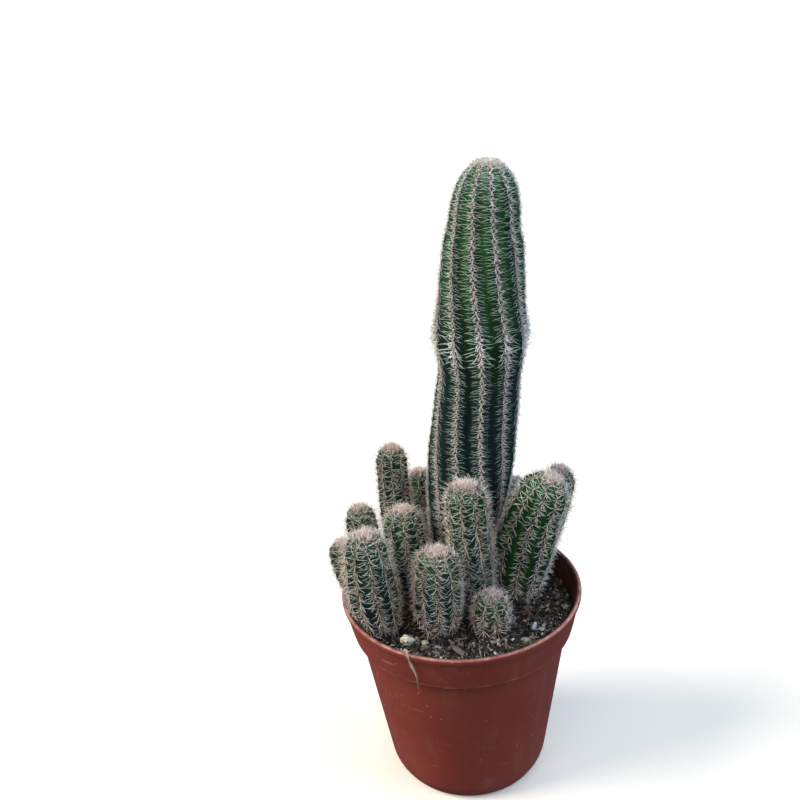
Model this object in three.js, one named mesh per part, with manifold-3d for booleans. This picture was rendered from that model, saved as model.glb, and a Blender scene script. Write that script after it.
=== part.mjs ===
// A tall ribbed column cactus with a ring of small offsets, in a brown plastic nursery pot.
// Millimetres, +Z up. The origin is the centre of the pot's base, on the surface it stands on.

import * as THREE from 'three';
import { mergeVertices } from 'three/addons/utils/BufferGeometryUtils.js';
import Module from 'manifold-3d';

const wasm = await Module();
wasm.setup();

// ---- driving dimensions ----

const POT_HEIGHT = 74;
const RIM_RADIUS = 42.5;
const BASE_RADIUS = 25.4;
const WALL = 0.95;
const COLLAR_HEIGHT = 14;
const COLLAR_STEP = 2;
const FLOOR_THICKNESS = 2.2;
const DRAIN_COUNT = 6;
const DRAIN_RADIUS = 2.4;
const DRAIN_RING = 14;
const DRAIN_SIDES = 12;
const ROUND_SIDES = 36;

const SOIL_LEVEL = 66;
const SOIL_RELIEF = 0.7;
const FIT = 0.35;
const HOLE_DEPTH = 5;
const HOLE_SIDES = 14;

const STEM_START = SOIL_LEVEL + 1.4;
const FOOT_DEPTH = HOLE_DEPTH - FIT;
const RIB_DEPTH = 0.2;
const DOME_SHARE = 0.95;
const DOME_FULLNESS = 0.8;
const OFFSET_TWIST = -8;

const SPINE_LENGTH = 3.1;
const SHORTEST_SPINE = 0.6;
const CROWN_SPINE_LENGTH = 2.4;
const CROWN_REACH = 1.5;
const SPINE_GAP = 0.5;
const RIM_CLEARANCE = 3;

// An areole's half height as a share of the row spacing, and its half width as a share of a flank.
const AREOLE_REACH = 0.2;
const AREOLE_WIDTH = 0.34;

// The first row of areoles above the soil, and what the rows leave over at both ends, in spacings.
const FIRST_ROW = 0.75;
const ROW_MARGIN = 0.35;

// How a spine leans across its rib, along it, and out of it.
const LEAN_ACROSS = 0.78;
const LEAN_ALONG = 0.42;
const LEAN_OUT = 0.55;
const LAST_ROW_RISE = -0.15;
const CROWN_SPREAD = 0.25;

// ---- stems ----

// The column's crest radius at heights above the pot's base. The swelling near 163 is a new
// season's growth, and the waist under it is the end of the one before.
const COLUMN_OUTLINE = [
  [67.4, 9.8], [76, 10.8], [86, 12.0], [96, 13.6], [106, 14.5], [119, 14.9], [135, 14.3],
  [149, 13.5], [156, 14.6], [163, 15.5], [169, 14.7], [178, 13.6], [192, 12.7], [201, 11.4],
];

const COLUMN = {
  name: 'main_stem',
  base: [-1.2, 16],
  bend: [10.6, 16, 143],
  tip: [15.6, 16, 219.5],
  outline: COLUMN_OUTLINE,
  ribs: 11,
  rows: 17,
  turn: 39,
  twist: -63,
};

// Each offset: where it leaves the soil, the point that its axis bends towards, its tip, and its
// radius at the foot, the belly and the shoulder.
const OFFSETS = [
  { base: [-20.6, 20], bend: [-22.2, 19, 95], tip: [-21.8, 17, 121.4],
    radii: [4.6, 5.8, 5.6], ribs: 9, rows: 5, turn: 8 },
  { base: [-30.4, 12], bend: [-34.0, 11, 84], tip: [-34.2, 10, 102],
    radii: [4.9, 6.5, 5.6], ribs: 9, rows: 3, turn: 14 },
  { base: [-29.2, -1], bend: [-41.3, -1.5, 81.4], tip: [-40.4, -2, 95.2],
    radii: [3.7, 5.7, 5.2], ribs: 8, rows: 3, turn: -5 },
  { base: [-16.5, 2], bend: [-18.6, 1.5, 86], tip: [-19, 1, 104.8],
    radii: [5.6, 7.2, 6.8], ribs: 8, rows: 4, turn: 10 },
  { base: [6, -2.5], bend: [3.8, -6, 94], tip: [2.8, -7.4, 117.8],
    radii: [5.4, 7.3, 7.0], ribs: 9, rows: 5, turn: -12 },
  { base: [-28.7, -12.2], bend: [-31.4, -14, 84], tip: [-31.3, -16.2, 106],
    radii: [6.3, 8.5, 7.4], ribs: 9, rows: 4, turn: 16 },
  { base: [-8.6, -13], bend: [-8.4, -15.5, 84], tip: [-7.7, -17.5, 98.8],
    radii: [6.4, 8.1, 7.6], ribs: 9, rows: 4, turn: 3 },
  { base: [8.8, -15.5], bend: [9.2, -17, 74], tip: [9.4, -18.5, 81.2],
    radii: [5.2, 6.2, 5.8], ribs: 8, rows: 3, turn: 20 },
  { base: [19.8, 6.6], bend: [22.8, 2.8, 94], tip: [32.2, -1.6, 115.4],
    radii: [8.4, 10.7, 8.8], ribs: 10, rows: 5, turn: -10 },
  { base: [25.1, 17.8], bend: [36.3, 20.3, 87], tip: [38.2, 19.5, 107.6],
    radii: [3.9, 6.2, 6.1], ribs: 9, rows: 4, turn: 12 },
  { base: [-9, 31], bend: [-11.4, 32.4, 86], tip: [-12.6, 33, 103],
    radii: [4.2, 5.1, 4.9], ribs: 8, rows: 3, turn: 0 },
  { base: [19.5, 26], bend: [21.4, 25, 86], tip: [22, 23.5, 101.5],
    radii: [4.6, 5.8, 5.6], ribs: 8, rows: 3, turn: 6 },
].map((offset, index) => ({
  name: `offset_${String(index + 1).padStart(2, '0')}`,
  twist: OFFSET_TWIST,
  ...offset,
}));

const STEMS = [COLUMN, ...OFFSETS];

// ---- loose pieces on the soil ----

// Each grain: where it lies, how far its middle is above the soil level, its half sizes, its turn.
const GRAINS = [
  { name: 'perlite_stone', at: [-19.8, -21.1], rise: 1.2, half: [2.7, 2.0, 1.8], turn: 25, detail: 1,
    color: 0xd9d3c6 },
  { name: 'tan_grain', at: [-13.7, -22.6], rise: 0.8, half: [1.6, 1.3, 1.2], turn: -20, detail: 0,
    color: 0xa98f78 },
  { name: 'bark_chip', at: [22.4, -8.6], rise: 0.7, half: [2.2, 1.2, 0.9], turn: 40, detail: 0,
    color: 0x8a4a2a },
];

const GRAIN_UNEVENNESS = 0.12;

// The dry root lies on the soil, crosses the rim and hangs down the outside of the collar. Its
// route is degrees round from the front towards -X, distance from the pot's axis, and height.
const DRY_ROOT_ROUTE = [
  [42, 32.6, 67.6], [34, 36.6, 70], [30, 39.3, 73.6], [27.8, 41.3, 75.1], [26.3, 43.25, 73.9],
  [25, 42.3, 70.4], [23.6, 41.7, 67], [23, 41.25, 64.2],
];
const DRY_ROOT_HALF = [0.55, 0.3];
const DRY_ROOT_STEPS = 16;

// ---- colours ----

const material = (color, roughness) => new THREE.MeshStandardMaterial({ color, roughness, metalness: 0 });

// ---- solids from geometry ----

function bareOf(geometry) {
  geometry.deleteAttribute('normal');
  geometry.deleteAttribute('uv');
  return geometry;
}

function toSolid(geometry) {
  const merged = mergeVertices(bareOf(geometry), 1e-4);
  const index = merged.index.array;
  const triangles = [];
  for (let i = 0; i < index.length; i += 3) {
    const [a, b, c] = [index[i], index[i + 1], index[i + 2]];
    if (a !== b && b !== c && c !== a) triangles.push(a, b, c);
  }
  return new wasm.Manifold(new wasm.Mesh({
    numProp: 3,
    vertProperties: Float32Array.from(merged.attributes.position.array),
    triVerts: Uint32Array.from(triangles),
  }));
}

function toGeometry(solid) {
  const mesh = solid.getMesh();
  const geometry = new THREE.BufferGeometry();
  geometry.setAttribute('position', new THREE.BufferAttribute(Float32Array.from(mesh.vertProperties), 3));
  geometry.setIndex(new THREE.BufferAttribute(Uint32Array.from(mesh.triVerts), 1));
  geometry.computeVertexNormals();
  return geometry;
}

function lathe(profile) {
  const points = profile.map(([radius, height]) => new THREE.Vector2(radius, height));
  return new THREE.LatheGeometry(points, ROUND_SIDES).rotateX(Math.PI / 2);
}

function named(name, geometry, finish) {
  const mesh = new THREE.Mesh(geometry, finish);
  mesh.name = name;
  return mesh;
}

// ---- pot ----

const COLLAR_FOOT = POT_HEIGHT - COLLAR_HEIGHT;
const WALL_FOOT = [29.3, 8];
const WALL_HEAD = [37.2, COLLAR_FOOT - 1];
const COLLAR_LOW = [WALL_HEAD[0] + COLLAR_STEP, COLLAR_FOOT + 0.8];

// The outer wall from the foot ring to the rim, as radius and height.
const OUTER_WALL = [
  [BASE_RADIUS, 0], [27.2, 1.6], [28.6, 4.4], WALL_FOOT, WALL_HEAD, COLLAR_LOW,
  [40.1, COLLAR_FOOT + 3], [41.4, POT_HEIGHT - 4], [RIM_RADIUS, POT_HEIGHT - 1.2],
  [RIM_RADIUS - 0.25, POT_HEIGHT - 0.3],
];

// The inner wall from the rim down to the floor. The rim is a thicker, rounded lip.
const INNER_WALL = [
  [RIM_RADIUS - 1.7, POT_HEIGHT - 0.3], [RIM_RADIUS - 1.9, POT_HEIGHT - 1.5],
  [41.4 - WALL, POT_HEIGHT - 4], [40.1 - WALL, COLLAR_FOOT + 3], [COLLAR_LOW[0] - WALL, COLLAR_FOOT + 1.2],
  [WALL_HEAD[0] - WALL, WALL_HEAD[1] + 0.4], [WALL_FOOT[0] - WALL, WALL_FOOT[1]],
  [26.6, 4.2], [24.4, FLOOR_THICKNESS],
];

// The base stands on a ring and on a middle disc, with the drained floor raised between them.
const BASE_RING_INNER = 20;
const BASE_DISC = 8;
const BASE_RECESS = 1.1;

function innerRadius(height) {
  const wall = INNER_WALL.find(([, z], i) => i > 0 && height >= z);
  const above = INNER_WALL[INNER_WALL.indexOf(wall) - 1];
  const share = (height - wall[1]) / (above[1] - wall[1]);
  return wall[0] + (above[0] - wall[0]) * Math.min(share, 1);
}

function makePot() {
  let pot = toSolid(lathe([
    [0, 0], [BASE_DISC, 0], [BASE_DISC + 0.6, BASE_RECESS], [BASE_RING_INNER - 0.6, BASE_RECESS],
    [BASE_RING_INNER, 0], ...OUTER_WALL, [RIM_RADIUS - 0.9, POT_HEIGHT], ...INNER_WALL,
    [0, FLOOR_THICKNESS],
  ]));
  for (let i = 0; i < DRAIN_COUNT; i += 1) {
    const angle = (i / DRAIN_COUNT) * 2 * Math.PI;
    const drain = new THREE.CylinderGeometry(DRAIN_RADIUS, DRAIN_RADIUS, 4 * FLOOR_THICKNESS, DRAIN_SIDES);
    drain.rotateX(Math.PI / 2);
    drain.translate(DRAIN_RING * Math.cos(angle), DRAIN_RING * Math.sin(angle), 0);
    pot = pot.subtract(toSolid(drain));
  }
  return named('pot', toGeometry(pot), material(0x7a3b2c, 0.5));
}

// ---- soil ----

// Soft heaps and hollows, from a few waves that don't line up.
function soilHeight(x, y) {
  const waves = Math.sin(0.31 * x + 0.12 * y) + Math.sin(0.17 * x - 0.36 * y + 1.3)
    + 0.6 * Math.sin(0.74 * x + 0.58 * y + 0.5);
  return SOIL_LEVEL + SOIL_RELIEF * waves / 2.6;
}

const SOIL_RINGS = [0, 7, 13, 19, 25, 31, 36];

function makeSoil() {
  const side = INNER_WALL.filter(([, z]) => z > FLOOR_THICKNESS && z < SOIL_LEVEL).reverse()
    .map(([radius, z]) => [radius - FIT, z]);
  const bottom = [[0, FLOOR_THICKNESS + FIT], [INNER_WALL.at(-1)[0] - FIT, FLOOR_THICKNESS + FIT]];
  const edge = [innerRadius(SOIL_LEVEL) - FIT, SOIL_LEVEL];
  const top = [...SOIL_RINGS].reverse().map((radius) => [radius, SOIL_LEVEL]);
  const body = lathe([...bottom, ...side, edge, ...top]);
  const position = body.attributes.position;
  for (let i = 0; i < position.count; i += 1) {
    const [x, y, z] = [position.getX(i), position.getY(i), position.getZ(i)];
    if (Math.abs(z - SOIL_LEVEL) < 1e-3) position.setZ(i, soilHeight(x, y));
  }
  let soil = toSolid(body);
  for (const grain of GRAINS) soil = soil.subtract(toSolid(grainGeometry(grain, FIT)));
  for (const stem of STEMS) {
    const corner = (footRadius(stem) + FIT) / Math.cos(Math.PI / HOLE_SIDES);
    const hole = new THREE.CylinderGeometry(corner, corner, 2 * HOLE_DEPTH, HOLE_SIDES).rotateX(Math.PI / 2);
    hole.translate(stem.base[0], stem.base[1], STEM_START);
    soil = soil.subtract(toSolid(hole));
  }
  return named('soil', toGeometry(soil), material(0x2a211c, 0.95));
}

// ---- stem form ----

const BODY_STEPS = 40;
const DOME_STEPS = 24;
const PROBES = 48;

const smooth = (x) => x * x * (3 - 2 * x);

function footRadius(stem) {
  return stem.outline ? stem.outline[0][1] : stem.radii[0];
}

// The radius of the column's crests at a height, eased from each point of its outline to the next.
function columnRadius(height) {
  let k = 0;
  while (k < COLUMN_OUTLINE.length - 2 && COLUMN_OUTLINE[k + 1][0] < height) k += 1;
  const [low, high] = [COLUMN_OUTLINE[k], COLUMN_OUTLINE[k + 1]];
  const share = THREE.MathUtils.clamp((height - low[0]) / (high[0] - low[0]), 0, 1);
  return THREE.MathUtils.lerp(low[1], high[1], smooth(share));
}

// The radius of an offset's crests at a share of its body: a swelling belly, then the shoulder.
function offsetRadius([foot, belly, shoulder], share) {
  const rise = Math.sin(Math.min(2 * share, 1) * Math.PI / 2);
  const fall = smooth(Math.max(2 * share - 1, 0));
  return foot + (belly - foot) * rise + (shoulder - belly) * fall;
}

// The side outline of a stem as distance along its axis and crest radius, from soil to tip.
function sideOutline(stem, length) {
  const [bodyTop, shoulder] = stem.outline ? stem.outline.at(-1) : [null, stem.radii[2]];
  const dome = stem.outline ? stem.tip[2] - bodyTop : shoulder * DOME_SHARE;
  const body = length - dome;
  const points = [];
  for (let i = 0; i <= BODY_STEPS; i += 1) {
    const share = i / BODY_STEPS;
    const radius = stem.outline
      ? columnRadius(THREE.MathUtils.lerp(STEM_START, bodyTop, share))
      : offsetRadius(stem.radii, share);
    points.push([share * body, radius]);
  }
  for (let i = 1; i <= DOME_STEPS; i += 1) {
    const angle = (i / DOME_STEPS) * Math.PI / 2;
    points.push([body + dome * Math.sin(angle), shoulder * Math.cos(angle) ** DOME_FULLNESS]);
  }
  return points;
}

// A stem's axis, outline and ribs, with place(arc, angle, depth) for points of its surface.
function formOf(stem) {
  const axis = new THREE.QuadraticBezierCurve3(
    new THREE.Vector3(...stem.base, STEM_START),
    new THREE.Vector3(...stem.bend),
    new THREE.Vector3(...stem.tip),
  );
  const length = axis.getLength();
  const outline = sideOutline(stem, length);
  const arcs = [0];
  for (let i = 1; i < outline.length; i += 1) {
    const [dx, dr] = [outline[i][0] - outline[i - 1][0], outline[i][1] - outline[i - 1][1]];
    arcs.push(arcs[i - 1] + Math.hypot(dx, dr));
  }
  const total = arcs.at(-1);

  const outlineAt = (arc) => {
    let k = 1;
    while (k < arcs.length - 1 && arcs[k] < arc) k += 1;
    const share = (arc - arcs[k - 1]) / (arcs[k] - arcs[k - 1]);
    return [0, 1].map((n) => THREE.MathUtils.lerp(outline[k - 1][n], outline[k][n], share));
  };

  const frameAt = (along) => {
    const share = THREE.MathUtils.clamp(along / length, 0, 1);
    const up = axis.getTangentAt(share);
    const right = new THREE.Vector3(1, 0, 0).addScaledVector(up, -up.x).normalize();
    const back = new THREE.Vector3().crossVectors(up, right);
    return { centre: axis.getPointAt(share), up, right, back, share };
  };

  // Angle 0 faces the front, -Y, and grows towards +X.
  const radial = (frame, angle) => {
    const turned = angle + THREE.MathUtils.degToRad(stem.turn + stem.twist * frame.share);
    return new THREE.Vector3().addScaledVector(frame.right, Math.sin(turned))
      .addScaledVector(frame.back, -Math.cos(turned));
  };

  const place = (arc, angle, depth) => {
    const [along, radius] = outlineAt(arc);
    const frame = frameAt(along);
    return frame.centre.clone().addScaledVector(radial(frame, angle), radius * (1 - depth));
  };

  // The directions out of the surface, across it and along it, at a point of a crest.
  const compass = (arc, angle) => {
    const step = 0.3;
    const along = place(Math.min(arc + step, total), angle, 0).sub(place(arc - step, angle, 0)).normalize();
    const across = place(arc, angle + 0.01, 0).sub(place(arc, angle - 0.01, 0)).normalize();
    const out = new THREE.Vector3().crossVectors(across, along).normalize();
    return { out, across, along };
  };

  const probes = [];
  for (let i = 0; i <= PROBES; i += 1) {
    const [along, radius] = outlineAt((i / PROBES) * total);
    probes.push({ centre: frameAt(along).centre, radius });
  }
  return { stem, total, place, compass, outlineAt, probes, up: axis.getTangentAt(1) };
}

const FORMS = STEMS.map(formOf);

function distanceTo(form, point) {
  return Math.min(...form.probes.map(({ centre, radius }) => centre.distanceTo(point) - radius));
}

// A spine's tip is free when it is nearer its own stem than any other, over the soil, and
// inside or above the pot's rim.
function isFree(form, tip) {
  if (tip.z < STEM_START + SPINE_GAP) return false;
  const wall = innerRadius(Math.min(tip.z, POT_HEIGHT - 1)) - SPINE_GAP;
  if (tip.z < POT_HEIGHT + RIM_CLEARANCE && Math.hypot(tip.x, tip.y) > wall) return false;
  const own = distanceTo(form, tip);
  return FORMS.every((other) => other === form || distanceTo(other, tip) > own + SPINE_GAP);
}

// ---- stem mesh ----

class Skin {
  constructor() {
    this.points = [];
    this.index = [];
  }

  add(point) {
    this.points.push(point.x, point.y, point.z);
    return this.points.length / 3 - 1;
  }

  point(id) {
    return new THREE.Vector3().fromArray(this.points, id * 3);
  }

  face(...ids) {
    for (let i = 2; i < ids.length; i += 1) this.index.push(ids[0], ids[i - 1], ids[i]);
  }

  // A triangle drawn out into a three-sided spine. It is shortened until its tip is free.
  spine(form, corners, direction, length) {
    const root = corners.map((id) => this.point(id))
      .reduce((sum, corner) => sum.add(corner), new THREE.Vector3()).divideScalar(3);
    let reach = length;
    while (reach > SHORTEST_SPINE && !isFree(form, root.clone().addScaledVector(direction, reach))) {
      reach *= 0.85;
    }
    if (reach <= SHORTEST_SPINE) {
      this.face(...corners);
      return;
    }
    const tip = this.add(root.addScaledVector(direction, reach));
    const [a, b, c] = corners;
    this.face(a, b, tip);
    this.face(b, c, tip);
    this.face(c, a, tip);
  }

  geometry() {
    const geometry = new THREE.BufferGeometry();
    geometry.setAttribute('position', new THREE.Float32BufferAttribute(this.points, 3));
    geometry.setIndex(this.index);
    geometry.computeVertexNormals();
    return geometry;
  }
}

// One areole: a small diamond on the crest, with a spine on each of its four triangles.
function addAreole(skin, form, arc, angle, pitch, halfRib, isLast) {
  const crest = (shift) => form.place(arc + shift * pitch, angle, 0);
  const middle = crest(0);
  const flank = (side) => {
    const valley = form.place(arc, angle + side * halfRib, RIB_DEPTH);
    return middle.clone().lerp(valley, AREOLE_WIDTH);
  };
  const ids = {
    middle: skin.add(middle),
    up: skin.add(crest(AREOLE_REACH)),
    down: skin.add(crest(-AREOLE_REACH)),
    left: skin.add(flank(-1)),
    right: skin.add(flank(1)),
  };
  const { out, across, along } = form.compass(arc, angle);
  const ribPitch = 2 * halfRib * form.outlineAt(arc)[1];
  const side = Math.min(LEAN_ACROSS, (0.4 * ribPitch) / SPINE_LENGTH);
  const lean = (x, y) => new THREE.Vector3().addScaledVector(across, x * side)
    .addScaledVector(along, y).addScaledVector(out, LEAN_OUT).normalize();
  const rise = isLast ? LAST_ROW_RISE : LEAN_ALONG;
  skin.spine(form, [ids.middle, ids.right, ids.up], lean(1, rise), SPINE_LENGTH);
  skin.spine(form, [ids.middle, ids.down, ids.right], lean(1, -LEAN_ALONG), SPINE_LENGTH);
  skin.spine(form, [ids.middle, ids.left, ids.down], lean(-1, -LEAN_ALONG), SPINE_LENGTH);
  skin.spine(form, [ids.middle, ids.up, ids.left], lean(-1, rise), SPINE_LENGTH);
  return ids;
}

function makeStem(form, finish) {
  const { stem } = form;
  const skin = new Skin();
  const halfRib = Math.PI / stem.ribs;
  const pitch = form.total / (stem.rows + ROW_MARGIN);
  const crestAngle = (k) => 2 * halfRib * k;
  const rows = [];
  for (let j = 0; j < stem.rows; j += 1) {
    const arc = (j + FIRST_ROW) * pitch;
    const row = [];
    for (let k = 0; k < stem.ribs; k += 1) {
      const areole = addAreole(skin, form, arc, crestAngle(k), pitch, halfRib, j === stem.rows - 1);
      areole.valley = skin.add(form.place(arc, crestAngle(k) + halfRib, RIB_DEPTH));
      row.push(areole);
    }
    rows.push(row);
  }

  // The flanks between one row of areoles and the next.
  for (let j = 1; j < stem.rows; j += 1) {
    for (let k = 0; k < stem.ribs; k += 1) {
      const next = (k + 1) % stem.ribs;
      const [low, high] = [rows[j - 1], rows[j]];
      skin.face(low[k].valley, high[k].valley, high[k].right, high[k].down, low[k].up, low[k].right);
      const [lower, upper] = [low[next], high[next]];
      skin.face(high[k].valley, low[k].valley, lower.left, lower.up, upper.down, upper.left);
    }
  }
  closeTip(skin, form, rows.at(-1), halfRib);
  closeFoot(skin, form, rows[0], halfRib);
  return named(stem.name, skin.geometry(), finish);
}

// The crown: a small ring round the growing point, and an upright spine on each of its faces.
function closeTip(skin, form, row, halfRib) {
  const apex = skin.add(form.place(form.total, 0, 0));
  const ring = row.map((_, k) => skin.add(form.place(form.total - CROWN_REACH, 2 * halfRib * k, 0)));
  row.forEach((areole, k) => {
    const next = row[(k + 1) % row.length];
    const [here, there] = [ring[k], ring[(k + 1) % ring.length]];
    skin.face(areole.up, areole.right, here);
    skin.face(areole.right, areole.valley, here);
    skin.face(areole.valley, there, here);
    skin.face(areole.valley, next.left, there);
    skin.face(next.left, next.up, there);
    const outward = skin.point(here).add(skin.point(there)).multiplyScalar(0.5).sub(skin.point(apex));
    const direction = form.up.clone().addScaledVector(outward.normalize(), CROWN_SPREAD).normalize();
    skin.spine(form, [here, there, apex], direction, CROWN_SPINE_LENGTH);
  });
}

// Below the lowest areoles the ribs fade into a plain round foot that stands in the soil.
function closeFoot(skin, form, row, halfRib) {
  const { stem } = form;
  const radius = footRadius(stem);
  const ring = (height, k) => {
    const angle = halfRib * k + THREE.MathUtils.degToRad(stem.turn);
    const [x, y] = stem.base;
    return new THREE.Vector3(x + radius * Math.sin(angle), y - radius * Math.cos(angle), height);
  };
  const count = 2 * stem.ribs;
  const head = [];
  const toe = [];
  for (let k = 0; k < count; k += 1) {
    head.push(skin.add(ring(STEM_START, k)));
    toe.push(skin.add(ring(STEM_START - FOOT_DEPTH, k)));
  }
  const centre = skin.add(new THREE.Vector3(...stem.base, STEM_START - FOOT_DEPTH));
  row.forEach((areole, k) => {
    const next = row[(k + 1) % row.length];
    const [crest, valley, after] = [head[2 * k], head[2 * k + 1], head[(2 * k + 2) % count]];
    skin.face(valley, areole.valley, areole.right, areole.down, crest);
    skin.face(valley, after, next.down, next.left, areole.valley);
  });
  for (let k = 0; k < count; k += 1) {
    const n = (k + 1) % count;
    skin.face(head[k], toe[k], toe[n], head[n]);
    skin.face(toe[n], toe[k], centre);
  }
}

// ---- loose pieces ----

// A rounded, uneven stone, half sunk in the soil. The margin swells it into its own dent.
function grainGeometry(grain, margin) {
  const geometry = mergeVertices(bareOf(new THREE.IcosahedronGeometry(1, grain.detail)), 1e-4);
  const position = geometry.attributes.position;
  const point = new THREE.Vector3();
  for (let i = 0; i < position.count; i += 1) {
    point.fromBufferAttribute(position, i);
    const uneven = 1 + GRAIN_UNEVENNESS * Math.sin(5 * point.x + 3 * point.y + 4 * point.z);
    position.setXYZ(i, ...point.toArray().map((value, n) => value * uneven * (grain.half[n] + margin)));
  }
  geometry.rotateZ(THREE.MathUtils.degToRad(grain.turn));
  return geometry.translate(...grain.at, SOIL_LEVEL + grain.rise);
}

function makeDryRoot() {
  const route = DRY_ROOT_ROUTE.map(([degrees, reach, height]) => {
    const angle = THREE.MathUtils.degToRad(degrees);
    return new THREE.Vector3(-reach * Math.sin(angle), -reach * Math.cos(angle), height);
  });
  const section = new THREE.Shape();
  section.absellipse(0, 0, DRY_ROOT_HALF[1], DRY_ROOT_HALF[0], 0, 2 * Math.PI);
  const strand = new THREE.ExtrudeGeometry(section, {
    steps: DRY_ROOT_STEPS,
    curveSegments: 4,
    bevelEnabled: false,
    extrudePath: new THREE.CatmullRomCurve3(route),
  });
  return named('dry_root', toGeometry(toSolid(strand)), material(0xb9a08a, 0.85));
}

const group = new THREE.Group();
group.add(makePot());
group.add(makeSoil());
FORMS.forEach((form) => group.add(makeStem(form, material(0x3f5a3c, 0.7))));
GRAINS.forEach((grain) => {
  group.add(named(grain.name, toGeometry(toSolid(grainGeometry(grain, 0))), material(grain.color, 0.8)));
});
group.add(makeDryRoot());

export default group;
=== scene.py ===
"""A tall ribbed column cactus with a ring of small offsets, in a brown plastic nursery pot."""

import math
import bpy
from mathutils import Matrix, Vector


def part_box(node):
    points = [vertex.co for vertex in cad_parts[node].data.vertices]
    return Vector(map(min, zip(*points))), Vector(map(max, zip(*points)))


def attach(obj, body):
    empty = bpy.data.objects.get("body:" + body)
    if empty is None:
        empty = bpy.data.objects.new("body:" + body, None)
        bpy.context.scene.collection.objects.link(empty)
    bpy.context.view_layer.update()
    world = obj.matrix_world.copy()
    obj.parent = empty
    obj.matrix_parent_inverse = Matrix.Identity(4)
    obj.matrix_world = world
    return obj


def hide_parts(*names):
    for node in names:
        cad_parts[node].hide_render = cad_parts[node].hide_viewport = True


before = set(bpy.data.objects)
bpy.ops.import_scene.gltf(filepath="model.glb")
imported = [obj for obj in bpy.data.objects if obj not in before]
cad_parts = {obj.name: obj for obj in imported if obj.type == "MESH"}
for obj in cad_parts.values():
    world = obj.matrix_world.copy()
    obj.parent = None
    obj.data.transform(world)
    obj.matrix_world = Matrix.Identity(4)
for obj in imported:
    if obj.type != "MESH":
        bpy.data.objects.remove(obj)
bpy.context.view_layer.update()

from types import SimpleNamespace

import bpy
import numpy as np
from bpy.props import FloatProperty, FloatVectorProperty, IntProperty, PointerProperty
from mathutils import Matrix

bl_info = {
    "name": "Potted tall cactus",
    "version": (1, 0, 0),
    "blender": (4, 5, 0),
    "location": "3D View > Sidebar > Cactus",
    "description": "Builds a potted column cactus with its offsets, needles, felt, soil and pot",
    "category": "Add Mesh",
}

MM = 0.001

# ---- the plant's form, in millimetres, as its solids have it ----

SOIL_LEVEL = 66
STEM_START = SOIL_LEVEL + 1.4
FOOT_DEPTH = 4.65
RIB_DEPTH = 0.2
DOME_SHARE = 0.95
DOME_FULLNESS = 0.8
OFFSET_TWIST = -8

# The column's crest radius at heights above the pot's base, with the mat of wool on its crests.
COLUMN_OUTLINE = (
    (67.4, 9.8), (76, 10.8), (86, 12.0), (96, 13.6), (106, 14.6), (119, 15.2), (135, 14.8),
    (149, 14.2), (156, 15.1), (163, 15.9), (169, 15.2), (178, 14.3), (192, 13.3), (201, 11.5),
)

# How far its ribs sway from an even twist, in degrees, at shares of its length.
COLUMN_SWIRL = (
    (0, -3), (0.22, -6), (0.42, -11), (0.57, -5), (0.66, -3.5), (0.75, -6), (0.85, -7), (1, -8),
)
NO_SWIRL = ((0, 0), (1, 0))

# How far its axis leans off its bend towards +X, in millimetres, at heights.
COLUMN_SWAY = (
    (67, 0), (120, 0.6), (132, 0.9), (149, 1.1), (163, 0.2), (180, -0.4), (200, -0.5), (212, 0),
    (220, 0),
)
NO_SWAY = ((0, 0), (1, 0))

# The column: where it leaves the soil, the point that its axis bends towards, its tip, its ribs,
# and in degrees the turn of its first rib from the front and the twist from the foot to the tip.
COLUMN = dict(
    base=(-1.2, 16), bend=(10.6, 16, 143), tip=(15.6, 16, 219.5), ribs=11, turn=39, twist=-63,
    swirl=COLUMN_SWIRL, sway=COLUMN_SWAY, outline=COLUMN_OUTLINE,
)

# The same of each offset up to the turn, and its radius at the foot, the belly and the shoulder.
OFFSETS = (
    ((-20.6, 20), (-22.2, 19, 95), (-21.8, 17, 121.4), 9, 8, (4.6, 5.8, 5.6)),
    ((-30.4, 12), (-34, 11, 84), (-34.2, 10, 102), 9, 14, (4.9, 6.5, 5.6)),
    ((-29.2, -1), (-41.3, -1.5, 81.4), (-40.4, -2, 95.2), 8, -5, (3.7, 5.7, 5.2)),
    ((-16.5, 2), (-18.6, 1.5, 86), (-19, 1, 104.8), 8, 10, (5.6, 7.2, 6.8)),
    ((6, -2.5), (3.8, -6, 94), (2.8, -7.4, 117.8), 9, -12, (5.4, 7.3, 7.0)),
    ((-28.7, -12.2), (-31.4, -14, 84), (-31.3, -16.2, 106), 9, 16, (6.3, 8.5, 7.4)),
    ((-8.6, -13), (-8.4, -15.5, 84), (-7.7, -17.5, 98.8), 9, 3, (6.4, 8.1, 7.6)),
    ((8.8, -15.5), (9.2, -17, 74), (9.4, -18.5, 81.2), 8, 20, (5.2, 6.2, 5.8)),
    ((19.8, 6.6), (22.8, 2.8, 94), (32.2, -1.6, 115.4), 10, -10, (8.4, 10.7, 8.8)),
    ((25.1, 17.8), (36.3, 20.3, 87), (38.2, 19.5, 107.6), 9, 12, (3.9, 6.2, 6.1)),
    ((-9, 31), (-11.4, 32.4, 86), (-12.6, 33, 103), 8, 0, (4.2, 5.1, 4.9)),
    ((19.5, 26), (21.4, 25, 86), (22, 23.5, 101.5), 8, 6, (4.6, 5.8, 5.6)),
)

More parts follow.
